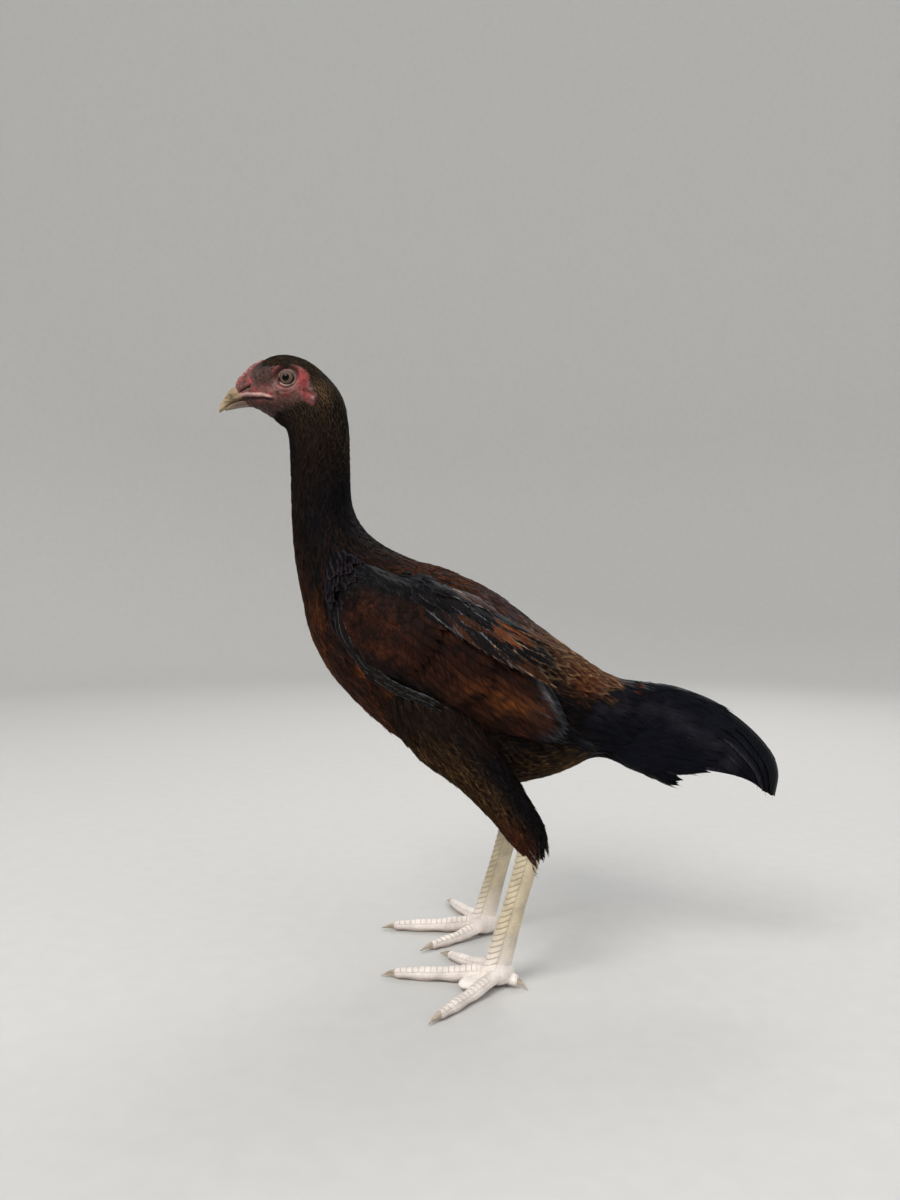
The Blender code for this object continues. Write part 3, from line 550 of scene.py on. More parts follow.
    def tuck(self, points: Array) -> Array:
        """How far out the wing's coat lies, in mm: its upper front edge and its tip bend in to the body."""
        a, b = self.wing_place(points)
        return -11 * ease(b, 17, 34) * ease(a, 50, 14) - 6 * ease(a, 165, 205)

    def wing_rise(self, points: Array) -> Array:
        """How far body feathers have to stand up at their tips to lie over the wing's front edge.

        Args:
            points: the tips' places.

        Returns:
            Distances in mm.
        """
        a, b = self.wing_place(points)
        low, _ = self.wing_edges(a)
        aside = np.abs(points[..., 1]) / MM
        step = np.abs(self.wing_face(a, b)[..., 1]) / MM - aside + self.tuck(points)
        near = ease(a, -17, -9) * ease(a, 14, 5) * ease(b, low - 6, low - 1) * ease(b, 20, 8)
        return clamp(step, 0, 14) * near * (aside > 22)

    def under_wing(self, points: Array, margin: float) -> Array:
        """Whether points at the body's side lie under a wing.

        Args:
            points: the places.
            margin: how far inside the wing's outline that counts, in mm.

        Returns:
            A mask.
        """
        a, b = self.wing_place(points)
        low, high = self.wing_edges(a)
        inside = (a > self.WING_OUTLINE[0][0] + margin) & (a < 150 - margin)
        return inside & (b > low + margin) & (b < high - margin) & (np.abs(points[..., 1]) > 20 * MM)


# Mesh helpers


def link(name: str, data: bpy.types.ID) -> Object:
    """A linked object of a mesh, a lamp or a camera.

    Args:
        name: its name.
        data: its mesh, lamp or camera.

    Returns:
        The object.
    """
    obj = bpy.data.objects.new(name, data)
    bpy.context.scene.collection.objects.link(obj)
    return obj


def finished(name: str, bm: bmesh.types.BMesh) -> Object:
    """A linked, smooth object of a bmesh, which it frees.

    Args:
        name: its name.
        bm: its form.

    Returns:
        The object.
    """
    mesh = bpy.data.meshes.new(name)
    bm.to_mesh(mesh)
    bm.free()
    mesh.shade_smooth()
    return link(name, mesh)


def shaped_grid(name: str, across: int, along: int, place: Callable[[Array, Array], Array]) -> Object:
    """A grid laid over a form as a closed tube, with its ends filled.

    Args:
        name: the object's name.
        across: faces round the form.
        along: faces along it.
        place: turns arrays of shares along and around into points.

    Returns:
        The linked object.
    """
    bm = bmesh.new()
    bmesh.ops.create_grid(bm, x_segments=across, y_segments=along, size=1.0)
    flat = np.array([vert.co[:2] for vert in bm.verts])
    share = (flat - flat.min(axis=0)) / np.ptp(flat, axis=0)
    for vert, point in zip(bm.verts, place(share[:, 1], share[:, 0])):
        vert.co = point
    bmesh.ops.remove_doubles(bm, verts=bm.verts, dist=2e-6)
    bmesh.ops.holes_fill(bm, edges=[edge for edge in bm.edges if edge.is_boundary], sides=0)
    bmesh.ops.recalc_face_normals(bm, faces=bm.faces)
    return finished(name, bm)


def ball(name: str, centre: tuple, radii: tuple, turn: tuple = (0, 0, 0), segments: int = 32,
         rings: int = 24) -> Object:
    """An ellipsoid.

    Args:
        name: the object's name.
        centre: its middle, in mm.
        radii: its three half sizes, in mm.
        turn: degrees about x, then y, then z.
        segments: faces round it.
        rings: faces from pole to pole.

    Returns:
        The linked object.
    """
    bm = bmesh.new()
    bmesh.ops.create_uvsphere(bm, u_segments=segments, v_segments=rings, radius=1)
    turning = Matrix.Identity(4)
    for axis, degrees in zip("XYZ", turn):
        turning = Matrix.Rotation(math.radians(degrees), 4, axis) @ turning
    bmesh.ops.transform(bm, matrix=Matrix.Scale(MM, 4) @ Matrix.Translation(Vector(centre)) @ turning
                        @ Matrix.Diagonal((*radii, 1)), verts=bm.verts)
    return finished(name, bm)


def bake(obj: Object) -> Object:
    """The object with its modifiers made part of its mesh.

    Args:
        obj: the object.

    Returns:
        The same object.
    """
    bpy.context.view_layer.update()
    graph = bpy.context.evaluated_depsgraph_get()
    mesh = bpy.data.meshes.new_from_object(obj.evaluated_get(graph))
    obj.modifiers.clear()
    obj.data = mesh
    mesh.shade_smooth()
    return obj


def drop(objects: list) -> None:
    """Deletes helper objects."""
    for obj in objects:
        bpy.data.objects.remove(obj)


def melt(name: str, objects: list, voxel: float, smoothing: int) -> Object:
    """One smooth closed form of several overlapping ones.

    Args:
        name: the object's name.
        objects: the closed forms, which it deletes.
        voxel: fineness of the new mesh, in mm.
        smoothing: rounds of smoothing.

    Returns:
        The object.
    """
    bm = bmesh.new()
    for obj in objects:
        bm.from_mesh(obj.data)
    obj = finished(name, bm)
    drop(objects)
    remesh = obj.modifiers.new("melt", "REMESH")
    remesh.mode, remesh.voxel_size, remesh.use_smooth_shade = "VOXEL", voxel * MM, True
    smooth = obj.modifiers.new("smooth", "SMOOTH")
    smooth.factor, smooth.iterations = 0.5, smoothing
    return bake(obj)


def vertex_array(obj: Object, key: str = "co") -> Array:
    """The places, or the normals, of the object's points, one row each.

    Args:
        obj: the object.
        key: "co" for places or "normal" for normals.

    Returns:
        One row for each point.
    """
    flat = np.empty(len(obj.data.vertices) * 3)
    obj.data.vertices.foreach_get(key, flat)
    return flat.reshape(-1, 3)


def set_points(obj: Object, points: Array) -> None:
    """Moves the object's points."""
    obj.data.vertices.foreach_set("co", np.ascontiguousarray(points).ravel())
    obj.data.update()


def set_colour(obj: Object, name: str, colours: Array) -> None:
    """Stores one colour for each point.

    Args:
        obj: the object.
        name: its name.
        colours: one colour for each point.
    """
    rows = np.ones((len(colours), 4), np.float32)
    rows[:, :3] = colours
    obj.data.color_attributes.new(name, "FLOAT_COLOR", "POINT").data.foreach_set("color", rows.ravel())


def set_value(obj: Object, name: str, values: Array) -> None:
    """Stores one number for each point."""
    attribute = obj.data.attributes.new(name, "FLOAT", "POINT")
    attribute.data.foreach_set("value", np.asarray(values, np.float32))


def settle(obj: Object, slot: str, material: Material, nodes: tuple = ()) -> None:
    """Dresses a finished piece and sets it on the bird.

    Args:
        obj: the piece.
        slot: not used.
        material: its finish.
        nodes: the solids that it stands for.
    """
    obj.data.materials.clear()
    obj.data.materials.append(material)
    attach(obj, BODY)
    if nodes:
        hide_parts(*nodes)
    log.info("%s: %d faces", obj.name, len(obj.data.polygons))


# Finishes


class Nodes:
    """A short way to place and join the nodes of a tree."""

    def __init__(self, tree: bpy.types.NodeTree) -> None:
        """Takes the tree."""
        self.tree = tree

    def feed(self, node: bpy.types.Node, inputs: dict) -> None:
        """Sets a node's sockets, by name or number, to values or to other nodes' sockets.

        Args:
            node: the node.
            inputs: socket name or number to a value or to another node's socket.
        """
        for key, value in inputs.items():
            if isinstance(value, Socket):
                self.tree.links.new(value, node.inputs[key])
            else:
                node.inputs[key].default_value = value

    def add(self, kind: str, inputs: dict | None = None, **settings: object) -> bpy.types.Node:
        """Adds a node.

        Args:
            kind: its type, without the word ShaderNode.
            inputs: socket name or number to a value or to another node's socket.
            settings: the node's own settings.

        Returns:
            The node.
        """
        node = self.tree.nodes.new("ShaderNode" + kind)
        for key, value in settings.items():
            setattr(node, key, value)
        self.feed(node, inputs or {})
        return node

    def math(self, operation: str, first: Socket | float, second: Socket | float = 0.0,
             third: Socket | float = 0.0, clip: bool = False) -> Socket:
        """The result of a sum on numbers or sockets."""
        node = self.add("Math", {0: first, 1: second, 2: third}, operation=operation, use_clamp=clip)
        return node.outputs[0]

    def swing(self, value: Socket, amount: Socket | float, middle: float = 1.0) -> Socket:
        """A value that lies around a half made to lie around a middle, by an amount."""
        return self.math("MULTIPLY_ADD", self.math("SUBTRACT", value, 0.5), amount, middle)

    def step(self, value: Socket, low: float, high: float, start: float = 0.0, end: float = 1.0) -> Socket:
        """A smooth step of a value from one range to another."""
        return self.add("MapRange", {"Value": value, "From Min": low, "From Max": high, "To Min": start,
                                     "To Max": end}, interpolation_type="SMOOTHSTEP").outputs[0]

    def blend(self, share: Socket | float, first: Socket | tuple, second: Socket | tuple,
              mode: str = "MIX") -> Socket:
        """A blend of two colours.

        Args:
            share: how much of the second shows.
            first: the colour at share 0.
            second: the colour at share 1.
            mode: how the second is laid over the first.

        Returns:
            The blended colour.
        """
        colours = {6: first, 7: second}
        colours = {key: value if isinstance(value, Socket) else (*value, 1.0)
                   for key, value in colours.items()}
        return self.add("Mix", {0: share, **colours}, data_type="RGBA", blend_type=mode).outputs[2]

    def shade(self, colour: Socket, light: Socket) -> Socket:
        """A colour made lighter or darker by a factor."""
        grey = self.add("CombineColor", {0: light, 1: light, 2: light})
        return self.blend(1.0, colour, grey.outputs[0], "MULTIPLY")

    def noise(self, vector: Socket, scale: float | Socket, detail: float = 3.0) -> Socket:
        """Soft noise at a place."""
        return self.add("TexNoise", {"Vector": vector, "Scale": scale, "Detail": detail}).outputs[0]

    def own(self, name: str, output: str = "Color") -> Socket:
        """A colour or value that the mesh carries."""
        return self.add("Attribute", attribute_name=name).outputs[output]

    def place(self) -> Socket:
        """The place on the piece."""
        return self.add("TexCoord").outputs["Object"]

    def bump(self, height: Socket, strength: float, distance: float) -> Socket:
        """Normals of a fine relief whose greatest depth is in mm."""
        return self.add("Bump",
                        {"Height": height, "Strength": strength, "Distance": distance * MM}).outputs[0]


class Paint(Nodes):
    """A material that is being made, with its Principled shader."""

    def __init__(self, name: str) -> None:
        """Starts a named material.

        Args:
            name: its name.
        """
        self.material = bpy.data.materials.new(name)
        self.material.use_nodes = True
        super().__init__(self.material.node_tree)

    def finish(self, colour: Socket, **sockets: Socket | float) -> Material:
        """The material, once its shader is fed; a double underscore in a socket's name stands for a space.

        Args:
            colour: the surface's colour.
            sockets: the shader's other sockets and their values.

        Returns:
            The material.
        """
        named = {key.replace("__", " "): value for key, value in sockets.items()}
        self.feed(self.tree.nodes["Principled BSDF"], {"Base Color": colour, **named})
        return self.material


class Effects:
    """Shader node groups that several finishes share."""

    def __init__(self) -> None:
        """Builds the groups."""
        self.barbs = self._barbs()
        self.pores = self._pores()

    @staticmethod
    def _group(name: str, inputs: dict, outputs: dict) -> tuple[Nodes, dict, bpy.types.Node]:
        """An empty shader node group with its sockets.

        Args:
            name: the group's name.
            inputs: socket name to its value, or to its type where it has none.
            outputs: socket name to its type.

        Returns:
            The group's nodes, its input sockets by name, and the node that takes its results.
        """
        group = bpy.data.node_groups.new(name, "ShaderNodeTree")
        for key, value in inputs.items():
            kind = value if isinstance(value, str) else "Float"
            socket = group.interface.new_socket(key, in_out="INPUT", socket_type="NodeSocket" + kind)
            if value is not kind:
                socket.default_value = value
        for key, kind in outputs.items():
            group.interface.new_socket(key, in_out="OUTPUT", socket_type="NodeSocket" + kind)
        given = group.nodes.new("NodeGroupInput")
        return Nodes(group), {key: given.outputs[key] for key in inputs}, group.nodes.new("NodeGroupOutput")

    def _barbs(self) -> bpy.types.NodeTree:
        """Barbs that run slanting from the shaft to the vane's edge, clumped as they are on a real feather.

        Returns:
            The group.
        """
        n, given, result = self._group(
            "barbs", {"Vane": "Vector", "Centre": "Color", "Edge": "Color", "Edge Share": 0.3, "Lines": 26.0,
                      "Contrast": 0.5, "Slant": 0.3},
                      {"Colour": "Color", "Height": "Float", "Gloss": "Float"})
        feather, row, _ = n.add("SeparateXYZ", {0: given["Vane"]}).outputs
        cell, along = n.math("FRACT", feather), n.math("FRACT", row)
        across = n.math("ABSOLUTE", n.math("MULTIPLY_ADD", cell, 2.08, -1.04))
        drop = n.math("MULTIPLY", across, given["Slant"])
        slant = n.math("MULTIPLY", n.math("SUBTRACT", along, drop), given["Lines"])
        number = n.math("MULTIPLY", n.math("FLOOR", feather), 17.3)
        side = n.math("MULTIPLY", n.math("GREATER_THAN", cell, 0.5), 31.0)
        place = n.add("CombineXYZ",
                      {0: slant, 1: n.math("MULTIPLY_ADD", across, 0.9, side), 2: number}).outputs[0]
        streak = n.noise(place, 1.0, 2.5)
        patch = n.noise(n.add("CombineXYZ", {0: feather, 1: row, 2: number}).outputs[0], 2.2, 1.5)
        rim = n.math("ADD", n.math("MAXIMUM", across, n.math("POWER", along, 3.0)), n.swing(streak, 0.5, 0.0))
        mask = n.step(n.math("SUBTRACT", rim, n.math("SUBTRACT", 1.0, given["Edge Share"])), -0.22, 0.12)
        light = n.swing(streak, n.math("MULTIPLY", given["Contrast"], 3.2))
        light = n.math("MULTIPLY", light, n.swing(patch, 1.1))
        shaft = n.step(across, 0.09, 0.03)
        light = n.math("MULTIPLY", n.math("MAXIMUM", light, 0.25), n.math("MULTIPLY_ADD", shaft, -0.35, 1.0))
        n.feed(result, {"Colour": n.shade(n.blend(mask, given["Centre"], given["Edge"]), light),
                        "Height": n.math("MULTIPLY_ADD", shaft, 0.8, streak),
                        "Gloss": n.swing(streak, 0.16, 0.0)})
        return n.tree

    def _pores(self) -> bpy.types.NodeTree:
        """Small close pimples with creases between them, and soft blotches.

        Returns:
            The group.
        """
        n, given, result = self._group("pores", {"Place": "Vector", "Size": 900.0},
                                       {"Height": "Float", "Crease": "Float", "Blotch": "Float"})
        cells = n.add("TexVoronoi",
                      {"Vector": given["Place"], "Scale": given["Size"], "Randomness": 0.9}).outputs[0]
        fine = n.math("MULTIPLY", n.noise(given["Place"], given["Size"], 4.0), 0.5)
        n.feed(result, {"Height": n.math("SUBTRACT", fine, n.math("MULTIPLY", cells, 0.8)),
                        "Crease": n.step(cells, 0.35, 0.75), "Blotch": n.noise(given["Place"], 160.0, 4.0)})
        return n.tree


@dataclass(frozen=True)
class FeatherFinish:
    """A coat of feathers: colours come from the feathers, barbs and gloss from here."""

    name: str
    lines: float
    edge_share: float
    contrast: float
    roughness: float
    relief: float
    gloss: float
    slant: float = 0.30

    def material(self, effects: Effects) -> Material:
        """The finish as a material, on the effects' barbs.

        Args:
            effects: the shared shader groups.

        Returns:
            The material.
        """
        n = Paint(self.name)
        vane = n.add("UVMap", uv_map="Vane").outputs[0]
        barbs = n.add("Group", {"Vane": vane, "Centre": n.own("centre"), "Edge": n.own("edge"),
                                "Edge Share": self.edge_share, "Lines": self.lines, "Contrast": self.contrast,
                                "Slant": self.slant}, node_tree=effects.barbs).outputs
        return n.finish(barbs["Colour"], Roughness=n.math("ADD", barbs["Gloss"], self.roughness, clip=True),
                        Normal=n.bump(barbs["Height"], 0.6, self.relief), Specular__IOR__Level=self.gloss)


@dataclass(frozen=True)
class SkinFinish:
    """Bare and feathered skin, coloured by its own tint, with pimples and fine creases, the creases darkened as
    painted shade.
    """

    name: str = "pullet_skin"
    roughness: float = 0.55
    pimple: float = 1900.0

    def material(self, effects: Effects) -> Material:
        """The finish as a material, on the effects' pores.

        Args:
            effects: the shared shader groups.

        Returns:
            The material.
        """
        n = Paint(self.name)
        pores = n.add("Group", {"Place": n.place(), "Size": self.pimple}, node_tree=effects.pores).outputs
        # Painted shade in the creases between the pimples.
        colour = n.blend(n.math("MULTIPLY", pores["Crease"], 0.28), n.own("tint"), FACE_DARK)
        return n.finish(n.shade(colour, n.step(pores["Blotch"], 0.35, 0.65, 0.72, 1.28)),
                        Roughness=self.roughness,
                        Normal=n.bump(pores["Height"], 0.40, 0.22), Subsurface__Weight=0.12,
                        Subsurface__Scale=0.002, Specular__IOR__Level=0.25)


@dataclass(frozen=True)
class HornFinish:
    """Horn of the bill and the claws: fine lengthwise fibres, darker streaks and a paler tip."""

    name: str
    base: Colour
    dark: Colour
    pale: Colour
    tip_x: float
    root_x: float
    slope: float = math.radians(-38)

    def material(self) -> Material:
        """The finish as a material.

        Returns:
            The material.
        """
        n = Paint(self.name)
        place = n.place()
        grain = n.add("Mapping", {"Vector": place, "Rotation": (0, self.slope, 0),
                                  "Scale": (0.22, 1.0, 1.0)}).outputs[0]
        fibres, streaks = n.noise(grain, 900.0, 4.0), n.noise(grain, 300.0)
        x = n.add("SeparateXYZ", {0: place}).outputs[0]
        colour = n.blend(n.step(x, self.tip_x, self.root_x), self.pale, self.base)
        colour = n.blend(n.step(streaks, 0.50, 0.66, 0.0, 0.75), colour, self.dark)
        return n.finish(n.shade(colour, n.swing(fibres, 0.8)), Normal=n.bump(fibres, 0.35, 0.15),
                        Roughness=n.math("MULTIPLY_ADD", fibres, 0.25, 0.28), Specular__IOR__Level=0.5)


@dataclass(frozen=True)
class ScaleFinish:
    """Scaled skin of shanks and toes: cream scutes, pinker toes, painted shade in the grooves and seams and
    towards the floor.
    """

    name: str = "leg_scale_skin"
    cream: Colour = (0.62, 0.53, 0.37)
    pink: Colour = (0.90, 0.81, 0.75)
    # The last two colours are painted shade: on the lower sides near the floor, and in the seams and grooves.
    sole: Colour = (0.36, 0.265, 0.235)
    dirt: Colour = (0.150, 0.105, 0.072)

    def material(self) -> Material:
        """The finish as a material.

        Returns:
            The material.
        """
        n = Paint(self.name)
        place = n.place()
        z = n.add("SeparateXYZ", {0: place}).outputs[2]
        seams = n.step(n.add("TexVoronoi", {"Vector": place, "Scale": 620.0},
                             feature="DISTANCE_TO_EDGE").outputs[0],
                       0.02, 0.14)
        wide, fine = n.noise(place, 90.0, 4.0), n.noise(place, 900.0, 4.0)
        colour = n.blend(n.step(n.math("MULTIPLY_ADD", wide, 0.02, z), 0.018, 0.055), self.pink, self.cream)
        # Painted shade: darker towards the floor, on the toes' lower sides.
        colour = n.blend(n.step(z, 0.0045, 0.001, 0.0, 0.6), colour, self.sole)
        # Painted shade in the seams between the scales and in the scutes' grooves.
        colour = n.blend(n.math("MULTIPLY", n.math("SUBTRACT", 1.0, seams), 0.10), colour, self.dirt)
        colour = n.blend(n.math("MULTIPLY", n.own("groove", "Fac"), 0.75, clip=True), colour, self.dirt)
        height = n.math("ADD", n.math("MULTIPLY", seams, 0.35), n.math("MULTIPLY", fine, 0.4))
        return n.finish(n.shade(colour, n.math("MULTIPLY", n.swing(wide, 0.9), n.swing(fine, 0.35))),
                        Normal=n.bump(height, 0.35, 0.20), Roughness=n.math("MULTIPLY_ADD", fine, 0.25, 0.38),
                        Subsurface__Weight=0.08, Subsurface__Scale=0.0015, Specular__IOR__Level=0.42)


@dataclass(frozen=True)
class EyeFinish:
    """The eye: black pupil, grey-olive iris with a darker rim, and a wet surface."""

    name: str = "wet_eye"
    # Share of the way from the gaze to the iris's rim, and the colour there.
    rings: tuple = ((0.0, (0.001, 0.001, 0.001)), (0.27, (0.002, 0.002, 0.002)),
                    (0.31, (0.045, 0.022, 0.013)), (0.37, (0.150, 0.088, 0.060)),
                    (0.48, (0.140, 0.098, 0.072)), (0.58, (0.075, 0.052, 0.040)),
                    (0.68, (0.020, 0.013, 0.010)), (0.80, (0.010, 0.007, 0.006)),
                    (1.0, (0.010, 0.007, 0.006)))

    def material(self) -> Material:
        """The finish as a material.

        Returns:
            The material.
        """
        n = Paint(self.name)
        fibres = n.math("SUBTRACT", n.noise(n.place(), 2600.0), 0.5)
        ramp = n.add("ValToRGB", {0: n.math("MULTIPLY_ADD", fibres, 0.03, n.own("from_gaze", "Fac"))})
        stops = ramp.color_ramp.elements
        for where, colour in self.rings:
            stop = stops[0] if where == 0.0 else stops[-1] if where == 1.0 else stops.new(where)
            stop.color = (*colour, 1.0)
        return n.finish(ramp.outputs[0], Roughness=0.08, Specular__IOR__Level=0.11)


# Feathers


@dataclass(frozen=True)
class VaneShape:
    """The shape of one kind of feather, made once in a few variants and laid down many times."""

    rows: int
    columns: int
    root: float
    broad: float
    point: float
    dome: float
    ragged: float
    wisps: int
    variants: int

    def half_width(self, s: Array) -> Array:
        """Half width at a share of the length, where the broadest place has 1.

        Args:
            s: shares of the length.

        Returns:
            The half widths.
        """
        rise = self.root + (1 - self.root) * ease(s, 0.0, self.broad)
        past = clamp((s - self.broad) / (1 - self.broad))
        fall = (1 - past ** (2.2 - self.point)) ** (0.5 + 0.6 * self.point)
        return np.maximum(rise * fall, 0.10)

    def blade(self, chance: Chance) -> tuple[Array, list]:
        """A closed, thin, domed blade with a ragged edge.

        Args:
            chance: source of its irregularities.

        Returns:
            Its points and its faces.
        """
        wide = self.columns + 1
        x, c = np.meshgrid(np.linspace(0, 1, self.rows + 1), np.linspace(-1, 1, wide), indexing="ij")
        s = 1 - (1 - x) ** 1.5
        half, late = self.half_width(s), ease(s, 0.35, 0.8)
        s = s + chance.uniform(-1, 1, s.shape) * self.ragged * 0.05 * late - 0.05 * late * c**2
        frayed = chance.uniform(-1, 0.6, s.shape) * self.ragged * 0.5 * late
        spread = 1 + np.where(np.abs(c) > 0.99, frayed, 0)
        points = np.stack([s, c * half * spread, self.dome * (1 - c**2) * half, c], axis=-1).reshape(-1, 4)
        faces: list[tuple] = []
        last = self.rows * wide
        for left in range(0, last, wide):
            right = left + self.columns
            faces += [(i, i + wide, i + wide + 1, i + 1) for i in range(left, right)]
            faces.append((left, right, right + wide, left + wide))
        return points, [*faces, tuple(range(wide)), tuple(range(last + self.columns, last - 1, -1))]

    def wisp(self, number: int, base: int, chance: Chance) -> tuple[list, list]:
        """One loose barb that sticks out of the blade's edge.

        Args:
            number: odd ones are on one side, even ones on the other.
            base: number of points before it.
            chance: source of its irregularities.

        Returns:
            Its points and its faces.
        """
        sign = 1 if number % 2 else -1
        start = chance.uniform(0.45, 0.92)
        inner = sign * float(self.half_width(np.array(start))) * chance.uniform(0.55, 0.85)
        far = start + chance.uniform(0.10, 0.24)
        outer = inner + sign * chance.uniform(0.15, 0.55) * (1.15 - start)
        rim = max(-1.0, min(1.0, inner))
        points = [(start - 0.035, inner, 0.10, rim), (start + 0.035, inner, 0.10, rim),
                  (start, inner, 0.02, rim),
                  (far, outer, 0.10, sign)]
        order = ((0, 1, 3), (1, 2, 3), (2, 0, 3), (0, 2, 1))
        return points, [tuple(base + i for i in face[::sign]) for face in order]

    def variant(self, number: int) -> Vane:
        """One variant: a blade with its loose barbs.

        Args:
            number: picks the variant.

        Returns:
            The variant.
        """
        chance = np.random.default_rng(SEED * 100 + number)
        points, faces = self.blade(chance)
        for k in range(self.wisps):
            more, sides = self.wisp(k, len(points), chance)
            points, faces = np.concatenate([points, more]), faces + sides
        return Vane(points, faces)


@dataclass(frozen=True)
class Vane:
    """Points (share along, share across, height in half widths, edge coordinate) and faces of one feather."""

    points: Array
    faces: list

    def loops(self, handed: int) -> tuple[Array, Array]:
        """Face corners in a row, and where each face starts, turned outwards for a surface's handedness."""
        starts = np.cumsum([0] + [len(face) for face in self.faces])
        return np.concatenate([face[::handed] for face in self.faces]), starts[:-1]


SHORT = VaneShape(rows=5, columns=2, root=0.5, broad=0.5, point=0.5, dome=0.22, ragged=0.5, wisps=3,
                  variants=6)
SOFT = VaneShape(rows=7, columns=4, root=0.35, broad=0.55, point=0.25, dome=0.16, ragged=0.55, wisps=6,
                 variants=6)
FLUFF = VaneShape(rows=6, columns=2, root=0.4, broad=0.45, point=0.6, dome=0.2, ragged=0.9, wisps=9,
                  variants=6)
ROUND = VaneShape(rows=8, columns=6, root=0.35, broad=0.62, point=0.0, dome=0.14, ragged=0.25, wisps=3,
                  variants=5)
LANCE = VaneShape(rows=14, columns=6, root=0.4, broad=0.5, point=0.6, dome=0.14, ragged=0.3, wisps=8,
                  variants=4)
QUILL = VaneShape(rows=26, columns=10, root=0.45, broad=0.70, point=0.1, dome=0.10, ragged=0.12, wisps=3,
                  variants=4)
STEERING = VaneShape(rows=34, columns=12, root=0.50, broad=0.86, point=-0.6, dome=0.08, ragged=0.08, wisps=2,
                     variants=4)


@dataclass
class Feathers:
    """Many feathers on one surface: where each is rooted, its direction, its sizes in mm and its colours."""

    u: Array
    v: Array
    heading: Array
    length: Array
    width: Array
    sink: Array
    lift: Array
    centre: Array
    edge: Array
    bow: Array | float = 0.0
    tilt: Array | float = 0.0
    rise: float = 0.8

    def __post_init__(self) -> None:
        """Gives every value one entry for each feather."""
        for key, value in self.rows().items():
            shape = (len(self.u), 3) if key in ("centre", "edge") else len(self.u)
            setattr(self, key, np.broadcast_to(np.asarray(value, float), shape).copy())

    def rows(self) -> dict[str, Array]:
        """Every value that differs from feather to feather."""
        return {key: value for key, value in vars(self).items() if key != "rise"}

    def keep(self, wanted: Array) -> Feathers:
        """The feathers picked by a mask."""
        return Feathers(**{key: value[wanted] for key, value in self.rows().items()}, rise=self.rise)


